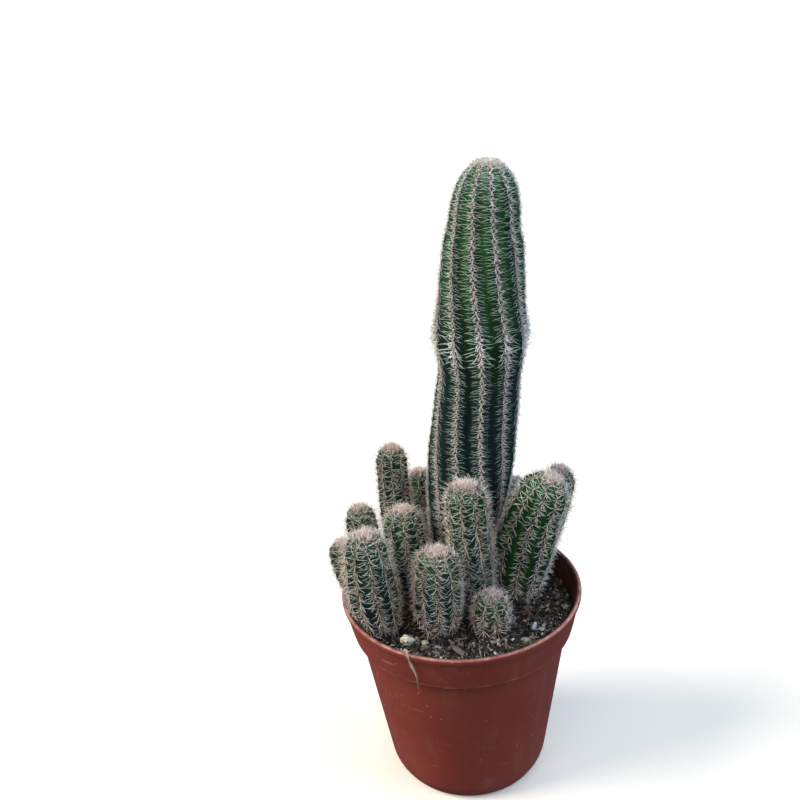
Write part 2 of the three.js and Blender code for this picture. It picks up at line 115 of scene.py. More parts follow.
# The pot's section as radius, height and the rounding of that corner, from the middle of its
# base out to the heel, up the wall and the collar, over the lip and down inside to the floor.
POT_SECTION = (
    (0, 0, 0), (8, 0, 0.4), (8.6, 1.1, 0.4), (19.4, 1.1, 0.4), (20, 0, 0.4), (25.9, 0, 1.6),
    (28.7, 4.6, 4.5), (37.2, 59, 0.4), (39.3, 60.2, 0.35), (40.1, 63.4, 3), (41.4, 70, 4),
    (42.45, 72.6, 0.5), (42.45, 73.9, 0.5), (41, 74, 0.6), (40.6, 72.2, 1.2), (40.45, 70, 2),
    (39.15, 63.4, 3), (38.25, 61.4, 0.8), (36.25, 59.7, 0.7), (27.9, 5.2, 4), (24.2, 2.2, 1.5),
    (0, 2.2, 0),
)
DRAIN_COUNT = 6
DRAIN_RADIUS = 2.4
DRAIN_RING = 14

# Inside of the wall over the soil, as height and radius, for what must stay off it.
INNER_WALL = ((8, 28.3), (59.5, 36.2), (61.2, 38.2), (63, 39.1), (70, 40.4), (72.5, 40.6), (74, 41))

# The dry root's route: degrees round from the front towards -X, distance from the pot's axis,
# height, and the strand's width there.
DRY_ROOT_ROUTE = (
    (40.5, 33.6, 67.3, 0.8), (36, 36.6, 68.9, 1.25), (32, 39.0, 71.7, 1.3), (29, 40.7, 74.15, 1.2),
    (27.4, 42.2, 74.4, 1.0), (26.4, 43.0, 73.2, 0.95), (25.5, 42.45, 70.4, 0.95),
    (24.5, 41.7, 67, 0.8), (24.1, 41.0, 64.2, 0.5), (24.4, 40.5, 61.5, 0.32),
    (25.2, 38.9, 58.2, 0.27), (25.9, 37.8, 55.6, 0.22), (27.6, 37.3, 53.8, 0.14),
)


# ---- materials ----

class Wire:
    """A socket of a material's tree, so that its maths reads as an expression."""

    def __init__(self, recipe, socket):
        self.recipe = recipe
        self.socket = socket

    def maths(self, operation, *values):
        return self.recipe.node("ShaderNodeMath", {"operation": operation}, dict(enumerate(values)))

    def __add__(self, other):
        return self.maths("ADD", self, other)

    __radd__ = __add__

    def __sub__(self, other):
        return self.maths("SUBTRACT", self, other)

    def __rsub__(self, other):
        return self.maths("SUBTRACT", other, self)

    def __mul__(self, other):
        return self.maths("MULTIPLY", self, other)

    __rmul__ = __mul__

    def between(self, low, high):
        """0 below low, 1 above high and a soft step from one to the other."""
        settings = {"interpolation_type": "SMOOTHSTEP"}
        values = {"Value": self, "From Min": low, "From Max": high}
        return self.recipe.node("ShaderNodeMapRange", settings, values)


class Recipe:
    """A material that is being put together round its Principled shader."""

    MIX_A, MIX_B, MIX_RESULT = 6, 7, 2

    def __init__(self, name, roughness=0.6, specular=0.5):
        self.material = bpy.data.materials.new(name)
        self.material.use_nodes = True
        self.tree = self.material.node_tree
        self.shader = self.tree.nodes["Principled BSDF"]
        self.set("Roughness", roughness)
        self.set("Specular IOR Level", specular)

    def node(self, kind, settings=None, values=None, output=0):
        """Adds a node, sets it up, feeds its sockets and gives back one of its outputs."""
        made = self.tree.nodes.new(kind)
        for name, setting in (settings or {}).items():
            if name == "stops":
                self.set_stops(made.color_ramp.elements, setting)
            else:
                setattr(made, name, setting)
        for socket, value in (values or {}).items():
            self.feed(made.inputs[socket], value)
        return Wire(self, made.outputs[output])

    @staticmethod
    def set_stops(elements, stops):
        while len(elements) < len(stops):
            elements.new(1.0)
        for element, (position, color) in zip(elements, stops):
            element.position = position
            element.color = (*color, 1.0)

    def feed(self, socket, value):
        if isinstance(value, Wire):
            self.tree.links.new(value.socket, socket)
        else:
            socket.default_value = value

    def set(self, socket, value):
        self.feed(self.shader.inputs[socket], value)

    def place(self, stretch=(1, 1, 1)):
        """Places on the object, in metres, stretched along its axes."""
        where = self.node("ShaderNodeTexCoord", output="Object")
        return self.node("ShaderNodeVectorMath", {"operation": "MULTIPLY"}, {0: where, 1: stretch})

    def height(self):
        return self.node("ShaderNodeSeparateXYZ", None, {0: self.place()}, output="Z")

    def noise(self, scale, detail=4.0, roughness=0.55, stretch=(1, 1, 1)):
        where = self.place(stretch)
        values = {"Vector": where, "Scale": scale, "Detail": detail, "Roughness": roughness}
        return self.node("ShaderNodeTexNoise", None, values, output="Fac")

    def cells(self, scale):
        """0 in the middle of each cell, growing towards its edges."""
        values = {"Vector": self.place(), "Scale": scale}
        return self.node("ShaderNodeTexVoronoi", None, values, output="Distance")

    def uv(self, name, axis):
        where = self.node("ShaderNodeUVMap", {"uv_map": name})
        return self.node("ShaderNodeSeparateXYZ", None, {0: where}, output=axis)

    def mix(self, share, first, second):
        """Goes from the first colour to the second as the share goes from 0 to 1."""
        first, second = (c if isinstance(c, Wire) else (*c, 1.0) for c in (first, second))
        values = {0: share, self.MIX_A: first, self.MIX_B: second}
        return self.node("ShaderNodeMix", {"data_type": "RGBA"}, values, output=self.MIX_RESULT)

    def bump(self, height, distance, strength):
        values = {"Height": height, "Distance": distance, "Strength": strength}
        return self.node("ShaderNodeBump", None, values)


# The middle of the collar's wall stands this far from the axis, and its height times the slope.
WALL_MIDDLE = 0.0269
WALL_SLOPE = 0.2


def pot_plastic(look):
    """Injection-moulded plastic, a little chalky, with scuffs, dust and dried water marks, painted
    highlights on the lip and the collar's edge, and painted shade inside the wall.
    """
    recipe = Recipe("pot_plastic", specular=0.3)
    height = recipe.height()
    clouds = recipe.noise(38, 3)
    color = recipe.mix(clouds.between(0.3, 0.75) * 0.6, look.plastic, look.plastic_worn)
    dust = recipe.noise(420, 5, 0.7).between(0.56, 0.8) * recipe.noise(60, 2).between(0.45, 0.7)
    scratched = recipe.noise(55, 1).between(0.5, 0.62)
    upright = recipe.noise(330, 2, 0.5, (1, 1, 0.1)).between(0.64, 0.7)
    level = recipe.noise(420, 2, 0.5, (0.22, 0.22, 1.6)).between(0.66, 0.72)
    scratches = (upright * 0.5 + level) * scratched
    specks = (1 - recipe.cells(300).between(0.06, 0.13)) * recipe.noise(110, 1).between(0.52, 0.58)
    streaks = recipe.noise(150, 2, 0.5, (1, 1, 0.04)).between(0.5, 0.8)
    # Painted highlight: a pale line along the collar's lower edge, broken into patches and added to
    # the wear marks.
    collar = height.between(0.0595, 0.0602) * (1 - height.between(0.0606, 0.0616))
    edge_patches = recipe.noise(260, 3, 0.6).between(0.35, 0.65)
    smudges = recipe.noise(95, 5, 0.75).between(0.5, 0.85)
    worn_and_highlit = dust * 0.3 + scratches * 0.3 + specks * 0.55 + streaks * 0.09 + smudges * 0.1
    worn_and_highlit = worn_and_highlit + collar * edge_patches * 0.22
    # The top of the lip is lightened with the dust colour: partly wear, partly a painted highlight.
    lip = height.between(0.0733, 0.0739) * (0.1 + 0.5 * edge_patches)
    color = recipe.mix(lip, color, look.dust)
    # Painted shade: the inside of the wall above the soil is darkened.
    flat = {0: recipe.place((1, 1, 0))}
    radius = recipe.node("ShaderNodeVectorMath", {"operation": "LENGTH"}, flat, output="Value")
    middle = radius - height * WALL_SLOPE
    inside = 1 - middle.between(WALL_MIDDLE - 0.0003, WALL_MIDDLE)
    inside = inside * height.between(0.0615, 0.0625)
    color = recipe.mix(inside * (0.75 + 0.2 * clouds), color, look.inner_wall_shade)
    # The wear marks and the painted collar highlight take the dust colour and a rougher finish.
    recipe.set("Base Color", recipe.mix(worn_and_highlit, color, look.dust))
    recipe.set("Roughness", 0.42 + 0.22 * clouds + worn_and_highlit * 0.4)
    grain = recipe.noise(900, 2)
    recipe.set("Normal", recipe.bump(grain + clouds * 2 - scratches, 0.00005, 0.5))
    return recipe.material


def stem_skin(look):
    """Waxy ribbed skin: green flanks, paler growing valleys, brownish crests and a corky foot."""
    recipe = Recipe("stem_skin", specular=0.38)
    across = recipe.uv("Ribs", "X")
    age = recipe.uv("Ribs", "Y")
    height = recipe.height()
    patches = recipe.noise(85, 3)
    fine = recipe.noise(900, 4, 0.65)
    color = recipe.mix(patches.between(0.35, 0.7), look.green_deep, look.green_mid)
    color = recipe.mix(fine.between(0.45, 0.75) * 0.35, color, look.green_pale)
    valley = across.between(0.4, 1.0) * (1 - age.between(0.15, 0.7))
    color = recipe.mix(valley * 0.62, color, look.green_pale)
    # Darker, bluer skin towards the foot: partly older skin, partly painted shade low among the
    # stems.
    color = recipe.mix(age.between(0.2, 0.6) * 0.85, color, look.old_and_shaded_green)
    crest = (1 - across.between(0.02, 0.18)) * (0.1 + 0.3 * patches)
    color = recipe.mix(crest, color, look.cork)
    cork = 1 - (height + 0.006 * recipe.noise(300, 4, 0.7)).between(0.071, 0.081)
    color = recipe.mix(cork * 0.8, color, look.cork_dark)
    dots = (1 - recipe.cells(1500).between(0.12, 0.3)) * 0.22
    recipe.set("Base Color", recipe.mix(dots, color, look.green_pale))
    dull = 1 - across.between(0.1, 0.5)
    recipe.set("Roughness", 0.36 + 0.2 * fine + 0.3 * cork + 0.3 * dull)
    recipe.set("Normal", recipe.bump(fine + patches, 0.00012, 0.5))
    recipe.set("Specular Tint", (0.5, 0.75, 1.0, 1.0))
    return recipe.material


def needle(look, name, root, straw, tip):
    """Needles: brownest at the root, straw above, nearly white at the tip; the offsets' dark roots
    are partly painted shade.
    """
    recipe = Recipe(name, roughness=0.5, specular=0.35)
    along = recipe.uv("Needle", "X")
    tone = recipe.uv("Needle", "Y")
    age = recipe.uv("Age", "X")
    # The root colour: the needle's own brown base, and for the offsets partly painted shade where
    # the roots lie deep among the needles.
    color = recipe.mix(along.between(0.0, 0.22), root, straw)
    color = recipe.mix(along.between(0.25, 0.7) * (0.35 + 0.65 * tone), color, tip)
    color = recipe.mix(age * (1.1 - tone) * 0.5, color, look.needle_old)
    color = recipe.mix((1 - tone.between(0.08, 0.28)) * 0.8, color, look.needle_red)
    color = recipe.mix(recipe.uv("Age", "Y") * (1 - along * 0.6) * 0.8, color, look.needle_young)
    recipe.set("Base Color", color)
    return recipe.material


def felt(look):
    """The felt of areoles and crowns."""
    recipe = Recipe("felt", roughness=0.95, specular=0.1)
    tone = recipe.uv("Needle", "Y")
    age = recipe.uv("Age", "X")
    color = recipe.mix(tone, look.wool, look.wool_pink)
    color = recipe.mix(age * 0.8, color, look.felt_old)
    along = recipe.uv("Needle", "X")
    paleness = along.between(0.2, 0.8) * (0.35 + 0.65 * tone)
    bristle = recipe.mix(paleness, look.bristle, look.bristle_pale)
    color = recipe.mix(recipe.uv("Age", "Y"), color, bristle)
    mottle = recipe.noise(1600, 3, 0.7)
    recipe.set("Base Color", recipe.mix(mottle.between(0.4, 0.8) * 0.35, color, look.felt_old))
    recipe.set("Normal", recipe.bump(mottle, 0.0001, 0.6))
    return recipe.material


def peat(look):
    """Dark gritty peat with paler fibres and a few mineral grains."""
    recipe = Recipe("peat", roughness=0.92, specular=0.25)
    lumps = recipe.noise(420, 6, 0.7)
    fibres = recipe.noise(700, 4, 0.6, (1, 0.25, 1))
    color = recipe.mix(lumps.between(0.35, 0.7), look.peat_dark, look.peat_brown)
    color = recipe.mix(fibres.between(0.6, 0.75) * 0.5, color, look.peat_pale)
    grains = (1 - recipe.cells(620).between(0.08, 0.16)) * recipe.noise(350, 1).between(0.52, 0.6)
    recipe.set("Base Color", recipe.mix(grains * 0.7, color, look.grit))
    recipe.set("Normal", recipe.bump(lumps * 2 + fibres, 0.0006, 0.9))
    return recipe.material


def crumb(look):
    """Loose crumbs, from near black peat through bark to pale grit, one tone to each."""
    recipe = Recipe("crumb", roughness=0.9, specular=0.25)
    tone = recipe.uv("Needle", "Y")
    stops = (
        (0.0, look.peat_dark), (0.5, look.peat_brown), (0.78, look.peat_pale), (0.9, look.grit),
        (1.0, look.stone),
    )
    color = recipe.node("ShaderNodeValToRGB", {"stops": stops}, {"Fac": tone})
    mottle = recipe.noise(1300, 4, 0.7)
    recipe.set("Base Color", recipe.mix(mottle.between(0.35, 0.75) * 0.5, color, look.peat_dark))
    recipe.set("Normal", recipe.bump(mottle, 0.0003, 0.8))
    return recipe.material


def mineral(name, base, stain, scale, pits):
    """A porous stone or chip: its own colour, stained in its pits."""
    recipe = Recipe(name, roughness=0.85, specular=0.3)
    holes = 1 - recipe.cells(scale).between(0.1, 0.4)
    mottle = recipe.noise(scale * 0.7, 5, 0.65)
    stained = holes * pits + mottle.between(0.5, 0.8) * 0.35
    recipe.set("Base Color", recipe.mix(stained, base, stain))
    recipe.set("Normal", recipe.bump(mottle - holes, 0.0004, 0.8))
    return recipe.material


def dry_fibre(look):
    """A dry papery root, streaked along its length."""
    recipe = Recipe("dry_fibre", roughness=0.85, specular=0.2)
    along = recipe.uv("Needle", "X")
    streaks = recipe.noise(2400, 3, 0.6, (1, 1, 0.12))
    color = recipe.mix(streaks.between(0.35, 0.7), look.root_dark, look.root_pale)
    start = 1 - along.between(0.2, 0.32)
    middle = along.between(0.44, 0.54) * (1 - along.between(0.6, 0.66))
    recipe.set("Base Color", recipe.mix((middle + start * 0.5) * 0.8, color, look.root_bleached))
    recipe.set("Normal", recipe.bump(streaks, 0.0002, 0.7))
    return recipe.material


def studio_white():
    """The pale floor."""
    recipe = Recipe("studio_white", roughness=0.95, specular=0.1)
    clouds = recipe.noise(3, 2)
    recipe.set("Base Color", recipe.mix(clouds * 0.1, (0.9, 0.83, 0.73), (0.84, 0.78, 0.69)))
    return recipe.material


# ---- modelling helpers ----

def start_piece():
    """Leaves nothing selected, so that the next primitive is worked on alone."""
    if bpy.context.object and bpy.context.object.mode != "OBJECT":
        bpy.ops.object.mode_set(mode="OBJECT")
    bpy.ops.object.select_all(action="DESELECT")


def edit(piece, *steps):
    """Runs edit mode steps on all of a piece."""
    start_piece()
    piece.select_set(True)
    bpy.context.view_layer.objects.active = piece
    bpy.ops.object.mode_set(mode="EDIT")
    bpy.ops.mesh.select_all(action="SELECT")
    for step in steps:
        step()
    bpy.ops.object.mode_set(mode="OBJECT")


def weld():
    bpy.ops.mesh.remove_doubles(threshold=1e-7)


def places_of(piece):
    """A piece's vertex places as rows of x, y and z."""
    flat = np.zeros(len(piece.data.vertices) * 3)
    piece.data.vertices.foreach_get("co", flat)
    return flat.reshape(-1, 3)


def move_to(piece, places):
    piece.data.vertices.foreach_set("co", np.ascontiguousarray(places, float).ravel())
    piece.data.update()
# The colour of the painted shade on the inside of the wall above the soil.

# Also the colour of the painted highlights on the lip and the collar's lower edge.

def corner_vertices(mesh):
    ids = np.zeros(len(mesh.loops), int)
    mesh.loops.foreach_get("vertex_index", ids)
    return ids


def paint(mesh, name, pairs):
    """Stores a pair of numbers for each vertex as a UV map."""
    layer = mesh.uv_layers.new(name=name)
    layer.data.foreach_set("uv", np.asarray(pairs, float)[corner_vertices(mesh)].ravel())


def finish_piece(piece, name, material, slot, *nodes):
    """Names a piece, gives it its finish and its place in the frame."""
    piece.name = piece.data.name = name
    piece.data.materials.clear()
    piece.data.materials.append(material)
    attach(piece, "root")
    if nodes:
        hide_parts(*nodes)
    return piece


MOST_CUTS = 99


def open_tube(around, rings):
    """A tube of plain quads, with each vertex's angle from the front towards +X, and its ring."""
    start_piece()
    bpy.ops.mesh.primitive_cylinder_add(vertices=around, radius=1, depth=1, end_fill_type="NOTHING")
    tube = bpy.context.object
    spans = min(rings - 1, MOST_CUTS + 1)
    split_bands(tube, spans - 1)
    while spans < rings - 1:
        more = min(spans, rings - 1 - spans)
        split_bands(tube, 1, more)
        spans += more
    x, y, z = places_of(tube).T
    step = 2 * math.pi / around
    angle = np.arctan2(x, -y)
    first = angle[0] - step * round(angle[0] / step)
    angle = first + step * np.round((angle - first) / step)
    return tube, angle, levels_of(z)


def levels_of(heights):
    """Numbers the levels that heights lie on, from the lowest up."""
    order = np.argsort(heights)
    steps = np.diff(heights[order]) > 1e-4
    levels = np.zeros(len(heights), int)
    levels[order[1:]] = np.cumsum(steps)
    return levels


def split_bands(tube, cuts, bands=1):
    """Cuts each of a tube's lowest bands into more of them."""
    levels = levels_of(places_of(tube)[:, 2])
    ends = np.zeros(len(tube.data.edges) * 2, int)
    tube.data.edges.foreach_get("vertices", ends)
    ends = levels[ends.reshape(-1, 2)]
    start_piece()
    tube.select_set(True)
    bpy.context.view_layer.objects.active = tube
    bpy.ops.object.mode_set(mode="EDIT")
    bpy.ops.mesh.select_mode(type="EDGE")
    bpy.ops.mesh.select_all(action="DESELECT")
    bpy.ops.object.mode_set(mode="OBJECT")
    rising = ends.max(axis=1) > ends.min(axis=1)
    tube.data.edges.foreach_set("select", rising & (ends.max(axis=1) <= bands))
    bpy.ops.object.mode_set(mode="EDIT")
    bpy.ops.mesh.subdivide(number_cuts=cuts)
    bpy.ops.object.mode_set(mode="OBJECT")


def copies(model, name, material, slot, axes, roots, tones, ages=0, youths=0):
    """One piece that repeats a small model, each copy with its axes, root, tone, age and youth."""
    shape, mesh = model.data, bpy.data.meshes.new(name)
    points = places_of(model)
    corners = corner_vertices(shape)
    sizes = np.zeros(len(shape.polygons), int)
    shape.polygons.foreach_get("loop_total", sizes)
    count, size = len(roots), len(points)
    places = np.einsum("nij,pj->npi", axes, points) + roots[:, None, :]
    mesh.vertices.add(count * size)
    mesh.vertices.foreach_set("co", places.ravel())
    mesh.loops.add(count * len(corners))
    mesh.loops.foreach_set("vertex_index", (corners + size * np.arange(count)[:, None]).ravel())
    mesh.polygons.add(count * len(sizes))
    totals = np.tile(sizes, count)
    mesh.polygons.foreach_set("loop_start", np.concatenate([[0], np.cumsum(totals)[:-1]]))
    mesh.polygons.foreach_set("loop_total", totals)
    mesh.update(calc_edges=True)
    shades = (np.broadcast_to(values, count) for values in (tones, ages, youths))
    tones, ages, youths = (np.repeat(values, size) for values in shades)
    paint(mesh, "Needle", np.column_stack([np.tile(points[:, 2], count), tones]))
    paint(mesh, "Age", np.column_stack([ages, youths]))
    piece = bpy.data.objects.new(name, mesh)
    bpy.context.scene.collection.objects.link(piece)
    return finish_piece(piece, name, material, slot)


def discard(piece):
    bpy.data.objects.remove(piece)


def unit(vectors):
    return vectors / np.maximum(np.linalg.norm(vectors, axis=-1, keepdims=True), 1e-12)


def axes_along(directions, sideways, lengths, widths):
    """Axes for copies: z along each direction, x as near sideways as it can be."""
    x = unit(sideways - directions * np.sum(sideways * directions, axis=1, keepdims=True))
    y = np.cross(directions, x)
    widths, lengths = widths[:, None], lengths[:, None]
    return np.stack([x * widths, y * widths, directions * lengths], axis=2)


def smooth(x):
    x = np.clip(x, 0, 1)
    return x * x * (3 - 2 * x)


# ---- stem form ----

# What sets the kinds of stem apart, in millimetres and degrees. The wide offset and the column say
# only where they differ from the other offsets.
OFFSET_KIND = dict(
    spacing=2.75,  # from areole to areole along a rib
    tip_age=0.1, foot_age=0.68,  # how old the skin looks, with painted shade darkening it towards the foot
    valley=0.6,  # how much of the new growth's green shows between the ribs
    swing=14, turn=15, lean=11,  # how far a bunch turns, and a needle turns and leans
    paler=0, thicker=0, length=1,  # how the needles differ from the tables
    needle_age=0.5, needle_youth=1,  # how much the needles look old low down and young at the tip
    pad=(0.34, 0.5, 0.26),  # a felt pad's half width, half length and height
    hairs=0.38, crown=3.7,  # the crown's share of the setting's bristles, and its reach
    longest_hair=3.6, hair_noise=0.32, hair_tone=1, hair_youth=1,  # how they vary
)
WIDE_KIND = dict(
    OFFSET_KIND, spacing=3.2, tip_age=0.07, foot_age=0.34, valley=0.85, swing=6,
    paler=0.32, thicker=0.22, length=0.86,
)
COLUMN_KIND = dict(
    OFFSET_KIND, spacing=3.2, tip_age=0, foot_age=1, valley=1, swing=4, turn=10, lean=6,
    needle_age=1, needle_youth=0.4, pad=(0.34, 0.7, 0.4),
    hairs=1, crown=6.2, longest_hair=2.4, hair_noise=0.2, hair_tone=0.4, hair_youth=0,
)

# Where an offset's belly is wider than this, it is of the wide kind.
WIDE_RADIUS = 9


class StemForm:
    """A bent axis, a side outline and ribs, which a stem's skin, felt and needles all follow."""

    AXIS_STEPS = 400
    BODY_STEPS = 40
    DOME_STEPS = 24
    TIP_ZONE = 8 * MM  # where the areoles stand closer
    TIP_SPACING = 0.4
    FIRST_AREOLE = 0.4  # in areoles from the tip
    LAST_AREOLE = 0.5  # in areoles from the soil

    def __init__(
        self, name, base, bend, tip, ribs, turn, radii=None, twist=OFFSET_TWIST, swirl=NO_SWIRL,
        sway=NO_SWAY, outline=None,
    ):
        self.name = name
        self.ribs = ribs
        self.turn = math.radians(turn)
        self.twist = math.radians(twist)
        self.swirl = np.array(swirl, float).T
        self.is_column = outline is not None
        offset = WIDE_KIND if radii and radii[1] > WIDE_RADIUS else OFFSET_KIND
        self.kind = SimpleNamespace(**(COLUMN_KIND if self.is_column else offset))
        start, bend, tip = (np.array(p, float) * MM for p in ((*base, STEM_START), bend, tip))
        t = np.linspace(0, 1, self.AXIS_STEPS)[:, None]
        self.line = (1 - t) ** 2 * start + 2 * t * (1 - t) * bend + t**2 * tip
        self.line[:, 0] += np.interp(self.line[:, 2] / MM, *np.array(sway, float).T) * MM
        self.heading = unit(2 * (1 - t) * (bend - start) + 2 * t * (tip - bend))
        steps = np.linalg.norm(np.diff(self.line, axis=0), axis=1)
        self.reach = np.concatenate([[0], np.cumsum(steps)])
        self.length = self.reach[-1]
        self.alongs, self.radii = self.side_outline(radii, outline, tip[2])
        steps = np.hypot(np.diff(self.alongs), np.diff(self.radii))
        self.arcs = np.concatenate([[0], np.cumsum(steps)])
        self.total = self.arcs[-1]
        self.foot = self.radii[0]
        self.left_steps = np.linspace(0, self.total, self.AXIS_STEPS)
        share = self.TIP_SPACING + (1 - self.TIP_SPACING) * smooth(self.left_steps / self.TIP_ZONE)
        gaps = self.kind.spacing * MM * share
        self.counts = np.concatenate([[0], np.cumsum(np.diff(self.left_steps) / gaps[1:])])
        self.rng = np.random.default_rng([ord(letter) for letter in name])
        self.phases = self.rng.random(ribs)

    def side_outline(self, radii, outline, top):
        """Distance along the axis and crest radius, from the soil to the tip."""
        share = np.linspace(0, 1, self.BODY_STEPS + 1)
        if outline:
            heights, widths = np.array(outline, float).T * MM
            height = STEM_START * MM + share * (heights[-1] - STEM_START * MM)
            k = np.clip(np.searchsorted(heights, height) - 1, 0, len(heights) - 2)
            part = smooth((height - heights[k]) / (heights[k + 1] - heights[k]))
            body = widths[k] + (widths[k + 1] - widths[k]) * part
            dome = top - heights[-1]
        else:
            foot, belly, shoulder = (r * MM for r in radii)
            rise = np.sin(np.minimum(2 * share, 1) * math.pi / 2)
            body = foot + (belly - foot) * rise + (shoulder - belly) * smooth(2 * share - 1)
            dome = shoulder * DOME_SHARE
        height = self.length - dome
        lean = np.linspace(0, math.pi / 2, self.DOME_STEPS + 1)[1:]
        alongs = np.concatenate([share * height, height + dome * np.sin(lean)])
        widths = np.concatenate([body, body[-1] * np.abs(np.cos(lean)) ** DOME_FULLNESS])
        widths[-1] = 0
        return alongs, widths

    def radius_at(self, arc):
        return np.interp(arc, self.arcs, self.radii)

    def frame_at(self, arc):
        """The axis point beside an arc, and the directions up, right and back there."""
        along = np.interp(arc, self.arcs, self.alongs)

        def on_axis(rows):
            return np.stack([np.interp(along, self.reach, row) for row in rows.T], axis=-1)

        centre, up = on_axis(self.line), unit(on_axis(self.heading))
        right = unit(np.array([1.0, 0, 0]) - up * up[..., :1])
        return centre, up, right, np.cross(up, right), along / self.length

    def place(self, arc, angle, depth=0.0, lift=0.0):
        """Points at a share of the crest radius inside the crests' envelope, and a lift over it."""
        centre, _, right, back, share = self.frame_at(arc)
        turned = angle + self.turn + self.twist * share + np.radians(np.interp(share, *self.swirl))
        turned = turned[..., None]
        radial = right * np.sin(turned) - back * np.cos(turned)
        return centre + radial * (self.radius_at(arc) * (1 - depth) + lift)[..., None]

    def compass(self, arc, angle):
        """Directions out of the crests' envelope, across it and along it."""
        step = 0.3 * MM
        high = self.place(np.minimum(arc + step, self.total), angle)
        along = unit(high - self.place(np.maximum(arc - step, 0), angle))
        across = unit(self.place(arc, angle + 0.01) - self.place(arc, angle - 0.01))
        return unit(np.cross(across, along)), across, along

    def valley_share(self, angle):
        """0 on a crest, growing to 1 in a valley."""
        turns = angle * self.ribs / (2 * math.pi)
        return 2 * np.abs((turns + 0.5) % 1 - 0.5)

    def rib_of(self, angle):
        return np.round(angle * self.ribs / (2 * math.pi)).astype(int) % self.ribs

    def count_at(self, arc):
        """How many areoles a rib has from the tip down to an arc."""
        return np.interp(self.total - arc, self.left_steps, self.counts)

    def areoles(self):
        """Every areole's arc, angle and distance from the tip."""
        arcs, angles = [], []
        for rib, phase in enumerate(self.phases):
            count = np.arange(self.FIRST_AREOLE + phase, self.counts[-1] - self.LAST_AREOLE)
            left = np.interp(count, self.counts, self.left_steps)
            arcs.append(self.total - left)
            angles.append(np.full(len(left), 2 * math.pi * rib / self.ribs))
        arcs, angles = np.concatenate(arcs), np.concatenate(angles)
        return arcs, angles, self.total - arcs


FORMS = [StemForm("main_stem", **COLUMN)]
FORMS += [StemForm(f"offset_{number:02}", *values) for number, values in enumerate(OFFSETS, 1)]


# What needles leave free round themselves, and the height over which the rim is out of their way.
NEEDLE_GAP = 0.3 * MM
RIM_CLEAR = 75.5 * MM


def room_over(form, points):
    """How much nearer its own stem each point is than any other stem."""
    def distance(other):
        probes = np.linspace(0, other.total, 60)
        centres, radii = other.frame_at(probes)[0], other.radius_at(probes)
        gaps = np.linalg.norm(points[:, None] - centres[None], axis=2) - radii[None]
        return gaps.min(axis=1)

    own = distance(form)
    return np.min([distance(other) for other in FORMS if other is not form], axis=0) - own


def is_free(form, tips):
    """Whether needle tips are clear of the other stems, the soil and the pot."""
    heights, walls = np.array(INNER_WALL, float).T * MM
    reach = np.hypot(tips[:, 0], tips[:, 1])
    inside = reach < np.interp(tips[:, 2], heights, walls) - NEEDLE_GAP
    return (
        (room_over(form, tips) > NEEDLE_GAP)
        & (tips[:, 2] > SOIL_LEVEL * MM)
        & (inside | (tips[:, 2] > RIM_CLEAR))
    )


# ---- stem pieces ----

SIDES_PER_RIB = 12
RING_SPACING = 0.75 * MM

# How far a crest swells at its areoles, how much of that it sinks by all along, over what share of
# the way to the valley, and over what length the ribs grow out of the plain foot.
SWELLING = 0.32 * MM
SINKING = 0.6
SWELLING_WIDTH = 0.4
RIB_START = 4 * MM


def make_skin(form, material):
    """The ribbed body of a stem, down to its foot in the soil."""
    spans = 2 * math.ceil(form.total / RING_SPACING / 2)
    tube, angle, ring = open_tube(form.ribs * SIDES_PER_RIB, spans + 3)
    arc = np.clip((ring - 2) / spans, 0, 1) * form.total
    valley = form.valley_share(angle)
    depth = RIB_DEPTH * (0.3 * valley + 0.7 * valley**1.7) * smooth(arc / RIB_START)
    first = form.FIRST_AREOLE + form.phases[form.rib_of(angle)]
    beat = np.cos(math.pi * (form.count_at(arc) - first)) ** 2
    crest = SWELLING * np.exp(-((valley / SWELLING_WIDTH) ** 2))
    swell = crest * (beat * smooth(form.radius_at(arc) / RIB_START) - SINKING * (arc > 0))
    places = form.place(arc, angle, depth, swell)
    toe = ring < 2
    places[toe, 2] -= FOOT_DEPTH * MM
    places[ring == 0] = [*form.line[0][:2], (STEM_START - FOOT_DEPTH) * MM]
    places[ring == ring.max()] = form.line[-1]
    move_to(tube, places)
    kind = form.kind
    age = kind.foot_age + (kind.tip_age - kind.foot_age) * arc / form.total
    paint(tube.data, "Ribs", np.column_stack([valley * kind.valley, age]))
    edit(tube, weld)
    tube.data.shade_smooth()
    finish_piece(tube, f"{form.name}_skin", material, "stem_skin", form.name)


# A needle's two middle rings: their height, their width and their share of the bend.
NEEDLE_RINGS = ((1 / 3, 1.0, 0.8), (2 / 3, 0.85, 0.7))


def needle_model(bend):
    """A three-sided needle of unit length and width, bowed towards +X."""
    start_piece()
    bpy.ops.mesh.primitive_cone_add(vertices=3, radius1=1, radius2=0, depth=1, location=(0, 0, 0.5))
    model = bpy.context.object
    bpy.ops.object.transform_apply(location=True)
    split_bands(model, 2)
    places = places_of(model)
    for height, width, shift in NEEDLE_RINGS:
        ring = np.abs(places[:, 2] - height) < 0.1
        places[ring, :2] *= width / (1 - height)
        places[ring, 0] += bend * shift
    move_to(model, places)
    return model


def pad_model():
    """Half of a low-sided ball, for a felt pad."""
    start_piece()
    bpy.ops.mesh.primitive_ico_sphere_add(subdivisions=2, radius=1)
    model = bpy.context.object

    def halve():
        bpy.ops.mesh.bisect(plane_co=(0, 0, -0.3), plane_no=(0, 0, 1), clear_inner=True)

    edit(model, halve)
    return model


def needles_of(thickness, paleness, rows):
    """A table of needles that are all equally thick and pale."""
    return tuple((*row, thickness, paleness) for row in rows)


